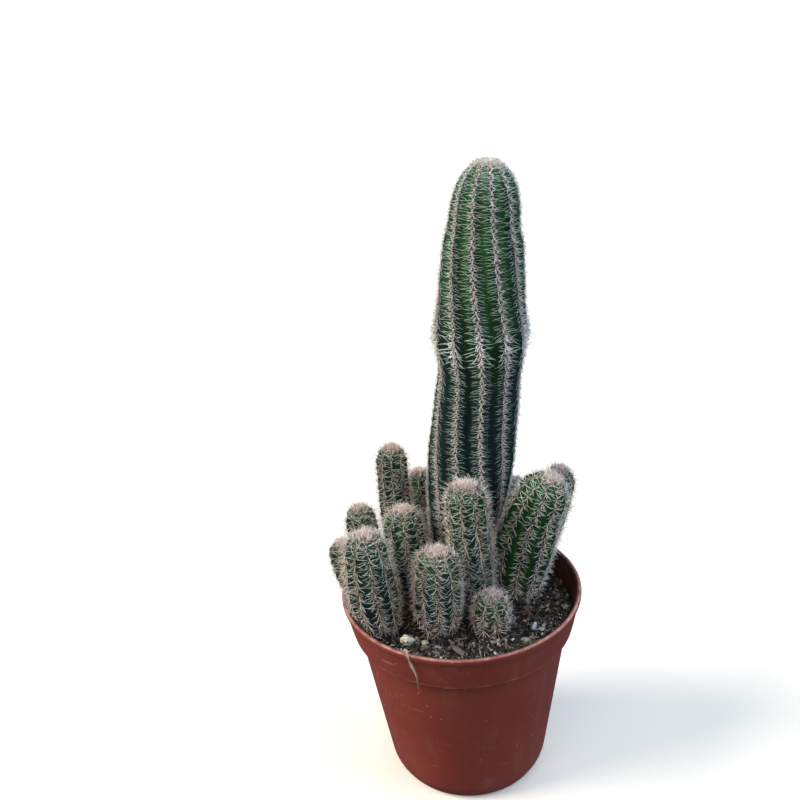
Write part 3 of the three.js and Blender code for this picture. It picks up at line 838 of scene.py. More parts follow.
# The needles of an areole: degrees from straight across towards the tip, degrees out of the skin,
# share of the full length, millimetres up the rib from the areole's middle, thickness, and how
# much paler than the others it is. The column's comb stands on both sides of the crest, with a mat
# and a brush of short needles along it. The offsets have stars.
COMB = (
    (20, 12, 0.86, 1.28, 0.72, 0.3), (10, 9, 0.96, 0.64, 0.68, 0.3), (1, 8, 1.0, 0, 0.68, 0.3),
    (-9, 9, 0.98, -0.64, 0.68, 0.3), (-20, 12, 0.9, -1.28, 0.72, 0.3),
)
MAT = needles_of(1.15, 0.1, (
    (62, 20, 0.34, 1.3), (118, 24, 0.34, 0.7), (20, 28, 0.34, 0.3), (160, 26, 0.34, -0.1),
    (-66, 22, 0.34, -0.6), (-116, 24, 0.34, -1.1),
))
BRUSH = needles_of(1.25, 0.35, (
    (90, 56, 0.4, 1.5), (10, 42, 0.42, 1.2), (170, 46, 0.4, 1.0), (-60, 66, 0.4, 0.75),
    (30, 50, 0.42, 0.5), (140, 48, 0.4, 0.2), (-90, 62, 0.4, -0.05), (-10, 42, 0.42, -0.3),
    (-165, 46, 0.4, -0.6), (60, 64, 0.38, -0.85), (-35, 48, 0.42, -1.1), (-140, 50, 0.4, -1.4),
))
CENTRALS = needles_of(0.8, 0.3, ((40, 46, 0.7, 0.3), (-55, 44, 0.85, -0.2), (-125, 54, 0.75, 0)))
STAR = needles_of(0.86, 0.24, (
    (52, 30, 0.85, 0.5), (26, 22, 0.95, 0.3), (2, 18, 1.0, 0), (-26, 24, 0.95, -0.35),
    (128, 30, 0.85, 0.5), (154, 22, 0.95, 0.3), (178, 18, 1.0, 0), (206, 24, 0.95, -0.35),
    (-88, 34, 0.75, -0.5),
))
STAR_CENTRALS = needles_of(0.85, -0.35, (
    (80, 58, 0.85, 0), (15, 52, 0.9, 0), (-40, 50, 1.0, 0), (-145, 54, 1.0, 0),
))


def needle_spread(form):
    """The tables' rows for every needle of one areole."""
    if form.is_column:
        other_side = [(180 - turn, *rest) for turn, *rest in COMB]
        return np.array([*COMB, *other_side, *MAT, *BRUSH, *CENTRALS], float)
    return np.array([*STAR, *STAR_CENTRALS], float)


# An offset thinner than this has shorter needles, up to this share of the full length.
FULL_RADIUS = 8.8 * MM
OFFSET_LONGEST = 0.86

# The column's bulge, where its needles fan out, and where its vigour sets in and is full.
BULGE_HEIGHT = 162 * MM
BULGE_REACH = 5 * MM
OLD_HEIGHT = 140 * MM
YOUNG_HEIGHT = 185 * MM

# How near the tip needles are bunched, and are young.
TIP_BUNCH = 6 * MM
YOUNG_REACH = 7 * MM

# How far needles start inside the skin, and in degrees how far one of the comb turns.
NEEDLE_SINK = 0.25 * MM
COMB_TURN = 4

# How much bunches differ in size, and needles in length, thickness, age, youth and, on the bulge,
# how far down they fan.
BUNCH_SIZES = (0.85, 1.12)
NEEDLE_LENGTHS = (0.8, 1.12)
NEEDLE_WIDTHS = (0.8, 1.15)
NEEDLE_AGES = (0.7, 1.2)
NEEDLE_YOUTHS = (0.3, 1)
BULGE_FANS = (-0.6, 0.85)

# A needle that would enter something is shortened to this share, so many times, before it goes.
SHORTENING = 0.72
SHORTENINGS = 4


def make_needles(form, plant, comb, others):
    """All the needles of a stem, the column's comb as a piece of its own."""
    rng, kind = form.rng, form.kind
    arcs, angles, left = form.areoles()
    spread = needle_spread(form)
    areoles, many = len(arcs), len(spread)
    combed = np.tile(np.arange(many) < 2 * len(COMB) * form.is_column, areoles)
    swing = np.repeat(rng.normal(0, kind.swing, areoles), many)
    size = np.repeat(rng.uniform(*BUNCH_SIZES, areoles), many)
    turns, leans, shares, steps, widths, pales = (np.tile(values, areoles) for values in spread.T)
    arcs, angles, left = (np.repeat(values, many) for values in (arcs, angles, left))
    count = len(arcs)
    unevenness = np.where(combed, COMB_TURN, kind.turn)
    turn = np.radians(turns + swing + rng.normal(0, 1, count) * unevenness)
    lean = np.radians(leans + rng.normal(0, kind.lean, count))
    share = shares * size * rng.uniform(*NEEDLE_LENGTHS, count)
    grown = smooth(left / TIP_BUNCH)
    arcs = np.minimum(arcs + steps * MM * grown, form.total)
    keep = rng.random(count) > plant.missing_needles + 0.4 * (1 - grown)
    kept = (v[keep] for v in (arcs, angles, left, turn, lean, share, widths, pales, grown, combed))
    arcs, angles, left, turn, lean, share, widths, pales, grown, combed = kept

    out, across, along = form.compass(arcs, angles)
    up = form.frame_at(arcs)[1]
    flat = across * np.cos(turn)[:, None] + along * np.sin(turn)[:, None]
    roots = form.place(arcs, angles, lift=-NEEDLE_SINK) + flat * NEEDLE_SINK
    bunch = 0.8 * (1 - grown)[:, None]
    directions = unit(flat * np.cos(lean)[:, None] + out * np.sin(lean)[:, None] + up * bunch)

    if form.is_column:
        vigour = smooth((roots[:, 2] - OLD_HEIGHT) / (YOUNG_HEIGHT - OLD_HEIGHT))
        slimness = form.radius_at(arcs) / form.radii.max()
        length = plant.column_needle * (0.5 + 0.5 * slimness) * (0.84 + 0.2 * vigour)
        widths = widths * np.where(combed, 0.82 + 0.18 * vigour, 1)
    else:
        slimness = (form.radii.max() / FULL_RADIUS) ** 0.7
        length = plant.offset_needle * min(slimness, OFFSET_LONGEST) * kind.length
    bulge = np.exp(-(((roots[:, 2] - BULGE_HEIGHT) / BULGE_REACH) ** 2)) * form.is_column
    fan = rng.uniform(*BULGE_FANS, (len(roots), 1))
    directions = unit(directions + (out * 0.3 - up * fan) * bulge[:, None])
    lengths = length * share * (1 + 0.35 * bulge) * (0.5 + 0.5 * grown)
    widths = widths * (1 + 0.9 * bulge + kind.thicker)
    for _ in range(SHORTENINGS):
        blocked = ~is_free(form, roots + directions * lengths[:, None])
        lengths[blocked] *= SHORTENING
    keep = is_free(form, roots + directions * lengths[:, None])
    widths = plant.needle_width / 2 * widths * rng.uniform(*NEEDLE_WIDTHS, len(lengths))
    axes = axes_along(directions, out, lengths, widths)
    tones = np.clip(rng.random(len(lengths)) + 0.6 * bulge + pales + kind.paler, 0, 1)
    ages = smooth(left / form.total * rng.uniform(*NEEDLE_AGES, len(left))) * (1 - 0.8 * bulge)
    youths = (1 - smooth(left / YOUNG_REACH)) * rng.uniform(*NEEDLE_YOUTHS, len(left))
    values = (axes, roots, tones, ages * kind.needle_age, youths * kind.needle_youth)
    parts = (("comb", comb, combed & keep), ("needles", others, ~combed & keep))
    model = needle_model(bend=1.4)
    for part, material, mask in parts:
        if mask.any():
            copies(model, f"{form.name}_{part}", material, "spines", *(v[mask] for v in values))
    discard(model)


# The pads near the tip are smaller, and pads differ in size this much.
PAD_ZONE = 5 * MM
PAD_SIZES = (0.85, 1.15)
PAD_SINK = 0.1 * MM
OFFSET_PAD_AGE = 0.8


def make_pads(form, material):
    """A felt pad under each bunch of needles."""
    rng = form.rng
    arcs, angles, left = form.areoles()
    out, across, along = form.compass(arcs, angles)
    roots = form.place(arcs, angles, lift=-PAD_SINK)
    size = (0.45 + 0.55 * smooth(left / PAD_ZONE)) * rng.uniform(*PAD_SIZES, len(arcs)) * MM
    spans = zip((across, along, out), form.kind.pad)
    axes = np.stack([way * (size * share)[:, None] for way, share in spans], axis=2)
    ages = smooth(left / form.total) if form.is_column else OFFSET_PAD_AGE
    tones = rng.random(len(arcs))
    model = pad_model()
    pads = copies(model, f"{form.name}_felt", material, "wool", axes, roots, tones, ages)
    pads.data.shade_smooth()
    discard(model)


SHORTEST_HAIR = 1.4
HAIR_WIDTHS = (0.7, 1.4)
HAIR_SINK = 0.3 * MM


def make_crown(form, plant, material):
    """The pinkish brush of bristles round the growing point."""
    rng, kind = form.rng, form.kind
    count = round(plant.crown_hairs * kind.hairs)
    spread = kind.crown * MM
    left = spread * np.sqrt(rng.random(count))
    arcs, angles = form.total - left, rng.uniform(0, 2 * math.pi, count)
    out = form.compass(arcs, angles)[0]
    up = form.frame_at(arcs)[1]
    directions = unit(out * 0.8 + up * 0.55 + rng.normal(0, kind.hair_noise, (count, 3)))
    roots = form.place(arcs, angles, lift=-HAIR_SINK)
    lengths = rng.uniform(SHORTEST_HAIR, kind.longest_hair, count) * (1 - 0.3 * left / spread) * MM
    widths = plant.needle_width / 2 * rng.uniform(*HAIR_WIDTHS, count)
    axes = axes_along(directions, rng.normal(0, 1, (count, 3)), lengths, widths)
    tones = rng.random(count) * kind.hair_tone
    model = needle_model(bend=1.5)
    copies(model, f"{form.name}_wool", material, "wool", axes, roots, tones, youths=kind.hair_youth)
    discard(model)


# ---- pot ----

POT_SIDES = 192
DRAIN_SIDES = 28
SHARP_EDGE = math.radians(40)
CORNER_POINTS = 5
CORNER_ROOM = 0.45  # the share of a side that a rounded corner may take


def rounded(section):
    """A section's points in metres, with its corners turned into short arcs."""
    points = np.array([corner[:2] for corner in section], float) * MM
    made = [points[0]]
    for k in range(1, len(points) - 1):
        before, here, after = points[k - 1 : k + 2]
        spans = [np.linalg.norm(end - here) for end in (before, after)]
        reach = min(section[k][2] * MM, CORNER_ROOM * min(spans))
        low, high = (here + unit(end - here) * reach for end in (before, after))
        for t in np.linspace(0, 1, CORNER_POINTS):
            made.append((1 - t) ** 2 * low + 2 * t * (1 - t) * here + t**2 * high)
    return np.array([*made, points[-1]])


def make_pot(material):
    """The nursery pot: a thin tapered wall under a deep collar, with a drained, recessed base."""
    section = rounded(POT_SECTION)
    pot, angle, ring = open_tube(POT_SIDES, len(section))
    radius, height = section[ring].T
    move_to(pot, np.stack([radius * np.sin(angle), -radius * np.cos(angle), height], axis=1))
    edit(pot, weld)
    drill_drains(pot)
    edit(pot, lambda: bpy.ops.mesh.normals_make_consistent(inside=False))
    bpy.ops.object.shade_smooth_by_angle(angle=SHARP_EDGE)
    finish_piece(pot, "pot_shell", material, "pot_plastic", "pot")


def drill_drains(pot):
    """Cuts the ring of drainage holes through the base."""
    for i in range(DRAIN_COUNT):
        start_piece()
        turn = 2 * math.pi * i / DRAIN_COUNT
        place = (DRAIN_RING * MM * math.cos(turn), DRAIN_RING * MM * math.sin(turn), MM)
        bpy.ops.mesh.primitive_cylinder_add(
            vertices=DRAIN_SIDES, radius=DRAIN_RADIUS * MM, depth=10 * MM, location=place
        )
        drill = bpy.context.object
        start_piece()
        pot.select_set(True)
        bpy.context.view_layer.objects.active = pot
        cut = pot.modifiers.new("drain", "BOOLEAN")
        cut.object = drill
        cut.operation = "DIFFERENCE"
        cut.solver = "EXACT"
        bpy.ops.object.modifier_apply(modifier=cut.name)
        discard(drill)


# ---- soil ----

SOIL_SIDES = 220
SOIL_EDGE = 39.0
SOIL_RINGS = 92

# The soil's side, as radius and height, from the middle of its underside up to its top's edge.
SOIL_SECTION = (
    (0, 2.55), (24.05, 2.55), (26.2, 4.3), (27.95, 8.2), (35.85, 59.4), (37.85, 61.4), (38.8, 64),
    (39.1, 65.2),
)


def wave_height(x, y):
    """The heaps and hollows of the soil, in metres, as its solid has them."""
    x, y = x / MM, y / MM
    waves = np.sin(0.31 * x + 0.12 * y) + np.sin(0.17 * x - 0.36 * y + 1.3)
    waves += 0.6 * np.sin(0.74 * x + 0.58 * y + 0.5)
    return (SOIL_LEVEL + 0.7 * waves / 2.6) * MM


def make_soil(material):
    """The peat's body: a plain side inside the pot, and a crumbled top."""
    rng = np.random.default_rng(5)
    top = [(edge, 0) for edge in np.linspace(SOIL_EDGE, 0, SOIL_RINGS)]
    section = np.array([*SOIL_SECTION, *top]) * MM
    soil, angle, ring = open_tube(SOIL_SIDES, len(section))
    radius, height = section[ring].T
    x, y = radius * np.sin(angle), -radius * np.cos(angle)
    crumbled = wave_height(x, y) + crumble(x, y, rng)
    z = np.where(ring < len(SOIL_SECTION), height, crumbled)
    move_to(soil, np.stack([x, y, z], axis=1))
    edit(soil, weld)
    soil.data.shade_smooth()
    finish_piece(soil, "soil_bed", material, "soil", "soil")


CRUMBLE_LENGTHS = (5, 3.2, 2.1, 1.4, 1.0)
WAVES_EACH = 5


def crumble(x, y, rng):
    """Small lumps over the soil: many random waves of falling length."""
    height = np.zeros_like(x)
    for length in CRUMBLE_LENGTHS:
        for _ in range(WAVES_EACH):
            turn, phase = rng.uniform(0, 2 * math.pi, 2)
            way = (x * math.cos(turn) + y * math.sin(turn)) / MM
            height += 0.05 * length * np.sin(way * 2 * math.pi / length + phase)
    return height * MM * 0.5


LUMPINESS = (0.7, 1.15)


def lump_model(seed, flatness, stretch, detail):
    """An uneven lump with a few dozen faces."""
    rng = np.random.default_rng(seed)
    start_piece()
    bpy.ops.mesh.primitive_ico_sphere_add(subdivisions=detail, radius=1)
    model = bpy.context.object
    places = places_of(model)
    places *= rng.uniform(*LUMPINESS, (len(places), 1)) * [stretch, 1 / stretch, flatness]
    move_to(model, places)
    return model


def centre_of(name, place, half):
    """Where the middle of a loose piece is: at its solid, or at its place on the soil."""
    if place is None:
        return np.mean(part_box(name), axis=0)
    x, y = np.array(place) * MM
    return np.array([x, y, wave_height(x, y) + 0.45 * half[2] * MM])


def covered_soil():
    """The middle and the radius of what stands or lies on the soil, which crumbs just touch."""
    covered = [(form.line[0][:2], form.foot - 0.5 * MM) for form in FORMS]
    for name, _, place, half, *_ in LOOSE:
        covered.append((centre_of(name, place, half)[:2], 0.8 * half[0] * MM))
    return covered


def on_soil(rng, count, edge):
    """Places on the soil that nothing covers."""
    found, covered = [], covered_soil()
    while len(found) < count:
        radius, turn = edge * math.sqrt(rng.random()) * MM, rng.uniform(0, 2 * math.pi)
        x, y = radius * math.sin(turn), radius * math.cos(turn)
        point = np.array([x, y])
        if all(np.linalg.norm(point - centre) > reach for centre, reach in covered):
            found.append((x, y))
    return np.array(found)


def random_axes(rng, sizes, tilt):
    """Axes turned at random, for pieces of those sizes, which lie flatter where tilt is small."""
    spins = rng.normal(0, 1, (len(sizes), 4)) * [1, tilt, tilt, 1]
    w, x, y, z = unit(spins).T
    turns = np.array([
        [1 - 2 * (y * y + z * z), 2 * (x * y - z * w), 2 * (x * z + y * w)],
        [2 * (x * y + z * w), 1 - 2 * (x * x + z * z), 2 * (y * z - x * w)],
        [2 * (x * z - y * w), 2 * (y * z + x * w), 1 - 2 * (x * x + y * y)],
    ]).transpose(2, 0, 1)
    return turns * sizes[:, None, None]


LITTER_EDGE = 38.2  # in millimetres from the pot's axis
SMALLNESS = 1.6  # how much commoner the small ones are
STANDING = 0.35  # the share of its size that a piece's middle stands over the soil

# Kinds of loose pieces on the soil: a seed, how many to each crumb, least and greatest size in
# millimetres, how flat and how long they are, the darkest and palest tone, a power that makes them
# darker the higher it is, and how finely they are modelled.
LITTER = {
    "peat_crumbs": (11, 1.25, 0.22, 0.75, 0.8, 1.15, 0.0, 0.88, 1.4, 1),
    "peat_lumps": (12, 0.12, 0.6, 1.3, 0.75, 1.2, 0.0, 0.5, 1.4, 2),
    "bark_flakes": (14, 0.3, 0.5, 1.35, 0.3, 1.5, 0.15, 0.94, 1.4, 2),
    "bark_slivers": (15, 0.05, 0.6, 1.2, 0.35, 2.2, 0.4, 0.88, 1.4, 2),
    "grit": (13, 0.3, 0.2, 0.62, 0.5, 1.5, 0.7, 0.97, 0.9, 1),
}


def make_litter(settings, material):
    """Loose peat, bark and grit over the soil."""
    for name, values in LITTER.items():
        seed, many, least, most, flatness, stretch, dark, pale, power, detail = values
        rng = np.random.default_rng(seed)
        count = round(settings.crumbs * many)
        places = on_soil(rng, count, LITTER_EDGE)
        sizes = (least + (most - least) * rng.random(count) ** SMALLNESS) * MM
        roots = np.column_stack([places, wave_height(*places.T) + sizes * STANDING])
        tones = dark + (pale - dark) * rng.random(count) ** power
        model = lump_model(seed, flatness, stretch, detail)
        copies(model, name, material, "soil", random_axes(rng, sizes, flatness), roots, tones)
        discard(model)


# Fibres, in millimetres: how far from the pot's axis they start and end, how far over the soil
# they start, the mean and the spread of how steeply they rise, and their least and greatest
# length, half thickness and tone.
FIBRE_EDGE = 37.5
FIBRE_END = 38
FIBRE_LIFT = 0.5
FIBRE_RISE = (0.08, 0.16)
FIBRE_LENGTHS = (1.5, 6)
FIBRE_WIDTHS = (0.06, 0.17)
FIBRE_TONES = (0.3, 0.95)


def make_fibres(settings, material):
    """Fine dry fibres and fallen needles that lie on the soil."""
    rng = np.random.default_rng(21)
    count = settings.fibres
    places = on_soil(rng, count, FIBRE_EDGE)
    turn = rng.uniform(0, 2 * math.pi, count)
    rise = rng.normal(*FIBRE_RISE, count)
    directions = unit(np.stack([np.cos(turn), np.sin(turn), rise], axis=1))
    lengths = rng.uniform(*FIBRE_LENGTHS, count) * MM
    roots = np.column_stack([places, wave_height(*places.T) + FIBRE_LIFT * MM])
    ends = roots + directions * lengths[:, None]
    keep = np.hypot(ends[:, 0], ends[:, 1]) < FIBRE_END * MM
    up = np.tile([0.0, 0.0, 1.0], (count, 1))
    axes = axes_along(directions, up, lengths, rng.uniform(*FIBRE_WIDTHS, count) * MM)
    tones = rng.uniform(*FIBRE_TONES, count)
    model = needle_model(bend=1.8)
    copies(model, "soil_fibres", material, "soil", axes[keep], roots[keep], tones[keep])
    discard(model)


# ---- stones, chip and dry root ----

# Each loose piece: its name, its slot, its place, its half sizes, its turn and its unevenness. The
# ones without a place have a solid of that name, and the solids leave out the others.
LOOSE = (
    ("perlite_stone", "pale_stone", None, (2.1, 1.95, 1.95), 25, 0.26),
    ("tan_grain", "tan_stone", None, (1.6, 1.35, 1.25), -20, 0.14),
    ("bark_chip", "bark", None, (2.4, 1.7, 1.1), 40, 0.34),
    ("white_shard", "pale_stone", (24.2, -17.4), (0.8, 0.6, 1.8), 30, 0.34),
    ("grey_shard", "pale_stone", (20.4, -23.7), (1.4, 1.05, 0.9), 15, 0.42),
    ("olive_shard", "tan_stone", (36.3, -7.4), (0.8, 0.9, 1.5), -30, 0.34),
    ("bark_splinter", "bark", (-2.5, -27.6), (3.7, 1.2, 0.75), -50, 0.3),
    ("grey_flake", "pale_stone", (-9.7, -25.3), (1.4, 1.0, 0.7), 35, 0.4),
)


# The lumps of a stone: how many to its width, and how many waves make them.
STONE_WAVES = ((1.6, 5), (4.0, 8), (9.0, 12))


def make_stone(name, slot, place, half, turn, roughness, material):
    """A loose piece on the soil, lumpy at three sizes."""
    start_piece()
    bpy.ops.mesh.primitive_ico_sphere_add(subdivisions=5, radius=1)
    stone = bpy.context.object
    places = places_of(stone)
    rng = np.random.default_rng(len(name))
    bulge = np.ones(len(places))
    for size, count in STONE_WAVES:
        for _ in range(count):
            way = unit(rng.normal(0, 1, 3)) * size
            bulge += roughness / size * np.sin(places @ way + rng.uniform(0, 2 * math.pi))
    places = places * bulge[:, None] * np.array(half) * MM
    places = places @ np.array(Matrix.Rotation(math.radians(turn), 3, "Z")).T
    move_to(stone, places + centre_of(name, place, half))
    stone.data.shade_smooth()
    nodes = [name] if place is None else []
    finish_piece(stone, f"{name}_body", material, slot, *nodes)


ROOT_RINGS = 97
ROOT_SIDES = 10
ROOT_THICKNESS = 0.42  # as a share of its width


def make_root(material):
    """The dry root strand that lies over the rim, a flat twisted ribbon with a thin end."""
    turn, reach, height, width = np.array(DRY_ROOT_ROUTE, float).T
    turn = np.radians(turn)
    points = np.stack([-reach * np.sin(turn), -reach * np.cos(turn), height], axis=1) * MM
    knots = np.linspace(0, 1, len(points))
    share = np.linspace(0, 1, ROOT_RINGS)
    line = np.stack([spline(share, knots, points[:, n]) for n in range(3)], axis=1)
    widths = np.interp(share, knots, width) * MM / 2
    widths[[0, -1]] = 0
    tube, angle, ring = open_tube(ROOT_SIDES, ROOT_RINGS)
    heading = unit(np.gradient(line, axis=0))
    outward = unit(line * [1, 1, 0] + np.array([0, 0, 0.02]))
    side = unit(np.cross(heading, outward))
    flat = np.cross(side, heading)
    roll = angle + 0.9 * np.sin(7 * share[ring])
    uneven = 1 + 0.15 * np.sin(40 * share[ring]) + 0.1 * np.sin(3 * angle + 25 * share[ring])
    wide = (widths[ring] * uneven * np.cos(roll))[:, None] * side[ring]
    thick = (ROOT_THICKNESS * widths[ring] * uneven * np.sin(roll))[:, None] * flat[ring]
    move_to(tube, line[ring] + wide + thick)
    paint(tube.data, "Needle", np.stack([share[ring], share[ring]], axis=1))
    edit(tube, weld, lambda: bpy.ops.mesh.normals_make_consistent(inside=False))
    tube.data.shade_smooth()
    finish_piece(tube, "dry_root_strand", material, "dry_root", "dry_root")


def spline(share, knots, values):
    """A smooth curve through values at knots."""
    slopes = np.gradient(values, knots)
    k = np.clip(np.searchsorted(knots, share) - 1, 0, len(knots) - 2)
    span = knots[k + 1] - knots[k]
    t = (share - knots[k]) / span
    return (
        (2 * t**3 - 3 * t**2 + 1) * values[k] + (t**3 - 2 * t**2 + t) * span * slopes[k]
        + (3 * t**2 - 2 * t**3) * values[k + 1] + (t**3 - t**2) * span * slopes[k + 1]
    )


# ---- stage ----

CAMERA_PLACE = (-0.0079, -0.2989, 0.2798)
CAMERA_DOWN = 23.91
CAMERA_LEFT = 1.69
CAMERA_ROLL = -4.23
LENS = 45


def make_camera():
    down, left, roll = (math.radians(a) for a in (CAMERA_DOWN, CAMERA_LEFT, CAMERA_ROLL))
    turn = (
        Matrix.Rotation(left, 4, "Z")
        @ Matrix.Rotation(math.pi / 2 - down, 4, "X")
        @ Matrix.Rotation(roll, 4, "Z")
    )
    bpy.ops.object.camera_add(location=CAMERA_PLACE, rotation=turn.to_euler())
    camera = bpy.context.object
    camera.data.lens = LENS
    camera.data.sensor_width = 36
    camera.data.clip_start = 0.01
    camera.data.clip_end = 500
    bpy.context.scene.camera = camera


# Each light: degrees round from the front towards +X, degrees up, its spread, strength and colour.
LIGHTS = (
    ("key", -84, 36, 35, 4.1, (1.0, 0.965, 0.92)),
    ("front", -10, 40, 60, 0.95, (1.0, 0.98, 0.95)),
    ("cool_side", 76, 30, 55, 2.55, (0.53, 0.72, 1.0)),
    ("back", 145, 38, 70, 1.2, (0.62, 0.8, 1.0)),
    ("overhead", 0, 82, 70, 0.5, (1.0, 1.0, 1.0)),
)


def make_lights():
    for name, round_by, up, spread, strength, color in LIGHTS:
        turn = (math.radians(90 - up), 0, math.radians(round_by))
        bpy.ops.object.light_add(type="SUN", location=(0, 0, 1), rotation=turn)
        light = bpy.context.object
        light.name = name
        light.data.angle = math.radians(spread)
        light.data.energy = strength
        light.data.color = color


def make_world(stage):
    """White all round for the camera, and a weaker even light on the object."""
    world = bpy.data.worlds.new("studio")
    bpy.context.scene.world = world
    world.use_nodes = True
    nodes, links = world.node_tree.nodes, world.node_tree.links
    ray = nodes.new("ShaderNodeLightPath")
    light = nodes["Background"]
    light.inputs["Color"].default_value = (*stage.ambient, 1)
    light.inputs["Strength"].default_value = stage.ambient_strength
    white = nodes.new("ShaderNodeBackground")
    white.inputs["Color"].default_value = (1, 1, 1, 1)
    mix = nodes.new("ShaderNodeMixShader")
    links.new(ray.outputs["Is Camera Ray"], mix.inputs[0])
    links.new(light.outputs[0], mix.inputs[1])
    links.new(white.outputs[0], mix.inputs[2])
    links.new(mix.outputs[0], nodes["World Output"].inputs[0])


def make_floor():
    start_piece()
    bpy.ops.mesh.primitive_plane_add(size=200)
    floor = bpy.context.object
    floor.visible_diffuse = False
    floor.visible_glossy = False
    floor.name = "studio_floor"
    floor.data.materials.append(studio_white())


# ---- settings ----

def color_of(name, default, description):
    return FloatVectorProperty(
        name=name, description=description, subtype="COLOR", size=3, min=0, max=1, default=default
    )


def length_of(name, default, description):
    return FloatProperty(name=name, description=description, unit="LENGTH", min=0, default=default)


def count_of(name, default, description):
    return IntProperty(name=name, description=description, min=0, default=default)


class PlantLook(bpy.types.PropertyGroup):
    """Sizes and colours of the cactus."""

    column_needle: length_of("Column needle", 4.8 * MM, "Longest needles of the column")
    offset_needle: length_of("Offset needle", 4.9 * MM, "Longest needles of the offsets")
    needle_width: length_of("Needle width", 0.135 * MM, "Thickness of a needle at its root")
    missing_needles: FloatProperty(
        name="Missing needles", description="Share of needles that have broken off", default=0.08,
        min=0, max=1,
    )
    crown_hairs: count_of("Crown hairs", 330, "Bristles at the column's tip")
    green_deep: color_of("Deep green", (0.0045, 0.020, 0.008), "Shaded patches of the skin")
    green_mid: color_of("Green", (0.0075, 0.043, 0.008), "The skin's main colour")
    green_pale: color_of("Pale green", (0.041, 0.158, 0.011), "New growth and fine dots")
    # Partly painted shade: it darkens the skin towards the foot of each stem.
    old_and_shaded_green: color_of("Old green", (0.006, 0.015, 0.017), "Skin of the lower stem")
    cork: color_of("Cork", (0.22, 0.17, 0.13), "Crests between the felt pads")
    cork_dark: color_of("Dark cork", (0.09, 0.052, 0.035), "The foot of a stem")
    # Partly painted shade: darker than the roots' own brown, as they lie in the needles' shade.
    needle_root_and_shade: color_of("Needle root", (0.31, 0.215, 0.165), "Root end of the offsets' needles")
    needle_straw: color_of("Needle straw", (0.75, 0.68, 0.55), "Middle of the offsets' needles")
    needle_tip: color_of("Needle tip", (1.0, 0.97, 0.88), "Tips of the offsets' needles")
    comb_root: color_of("Comb root", (0.32, 0.29, 0.24), "Root end of the column's comb needles")
    comb_straw: color_of("Comb straw", (0.60, 0.67, 0.50), "Middle of the comb needles")
    comb_tip: color_of("Comb tip", (0.88, 1.0, 0.84), "Tips of the comb needles")
    mat_root: color_of("Mat root", (0.44, 0.31, 0.27), "Root end of the column's other needles")
    mat_straw: color_of("Mat straw", (0.72, 0.65, 0.60), "Middle of the column's other needles")
    mat_tip: color_of("Mat tip", (0.98, 0.95, 0.92), "Tips of the column's other needles")
    needle_young: color_of("Young needle", (0.76, 0.54, 0.49), "Needles at the growing tips")
    needle_red: color_of("Red needle", (0.50, 0.25, 0.16), "The reddest among the pale needles")
    needle_old: color_of("Old needle", (0.42, 0.25, 0.18), "Needles low on a stem")
    wool: color_of("Wool", (0.62, 0.55, 0.50), "Felt of young areoles")
    wool_pink: color_of("Pink wool", (0.50, 0.37, 0.32), "Pinkish wool of the crowns")
    bristle: color_of("Bristle", (0.60, 0.37, 0.32), "Darker bristles of the crowns")
    bristle_pale: color_of("Pale bristle", (0.98, 0.90, 0.84), "Paler bristles of the crowns")
    felt_old: color_of("Old felt", (0.31, 0.20, 0.15), "Felt low on a stem")


class PotLook(bpy.types.PropertyGroup):
    """Colours of the pot."""

    plastic: color_of("Plastic", (0.205, 0.033, 0.021), "Terracotta-brown plastic")
    plastic_worn: color_of("Worn plastic", (0.235, 0.048, 0.032), "Chalkier patches of the plastic")
    inner_wall_shade: color_of("Soiled plastic", (0.045, 0.016, 0.012), "Peat-stained inside of the wall")
    dust: color_of("Dust", (0.46, 0.31, 0.26), "Dust, scuffs and the worn lip")


class SoilLook(bpy.types.PropertyGroup):
    """Amounts and colours of the soil, the stones and the dry root."""

    crumbs: count_of("Crumbs", 3600, "Loose crumbs of peat on the soil")
    fibres: count_of("Fibres", 650, "Fibres and fallen needles on the soil")
    peat_dark: color_of("Dark peat", (0.0035, 0.003, 0.003), "Wet peat")
    peat_brown: color_of("Brown peat", (0.047, 0.035, 0.029), "Dry peat")
    peat_pale: color_of("Pale peat", (0.27, 0.23, 0.185), "Fibres and bark dust")
    grit: color_of("Grit", (0.40, 0.385, 0.385), "Mineral grains")
    stone: color_of("Stone", (0.76, 0.69, 0.53), "Perlite")
    stone_stain: color_of("Stone stain", (0.36, 0.28, 0.20), "Peat in the pits of the perlite")
    tan: color_of("Tan grain", (0.42, 0.33, 0.24), "The tan grain")
    bark: color_of("Bark", (0.12, 0.048, 0.026), "The bark chip")
    white_grit: color_of("White grit", (0.62, 0.68, 0.76), "The white shard")
    grey_grit: color_of("Grey grit", (0.20, 0.225, 0.185), "The grey shard")
    olive_grit: color_of("Olive grit", (0.24, 0.22, 0.15), "The olive shard")
    splinter: color_of("Splinter", (0.125, 0.10, 0.092), "The weathered bark splinter")
    root_pale: color_of("Pale root", (0.46, 0.29, 0.215), "Dry root")
    root_dark: color_of("Dark root", (0.20, 0.115, 0.085), "Streaks of the dry root")
    root_bleached: color_of("Bleached root", (0.60, 0.53, 0.46), "Its bleached stretch")


class StageLook(bpy.types.PropertyGroup):
    """The studio."""

    ambient: color_of("Ambient", (0.85, 0.93, 1.0), "Colour of the even light")
    ambient_strength: FloatProperty(
        name="Ambient strength", description="Even light on the object", default=0.15
    )


# ---- operators ----

class CACTUS_OT_stage(bpy.types.Operator):
    """Set the camera, the lights and the pale floor"""

    bl_idname = "cactus.stage"
    bl_label = "Stage"

    def execute(self, context):
        make_camera()
        make_lights()
        make_world(context.scene.cactus_stage)
        make_floor()
        context.scene.view_settings.view_transform = "Standard"
        return {"FINISHED"}


class CACTUS_OT_pot(bpy.types.Operator):
    """Model the nursery pot"""

    bl_idname = "cactus.pot"
    bl_label = "Pot"

    def execute(self, context):
        make_pot(pot_plastic(context.scene.cactus_pot))
        return {"FINISHED"}


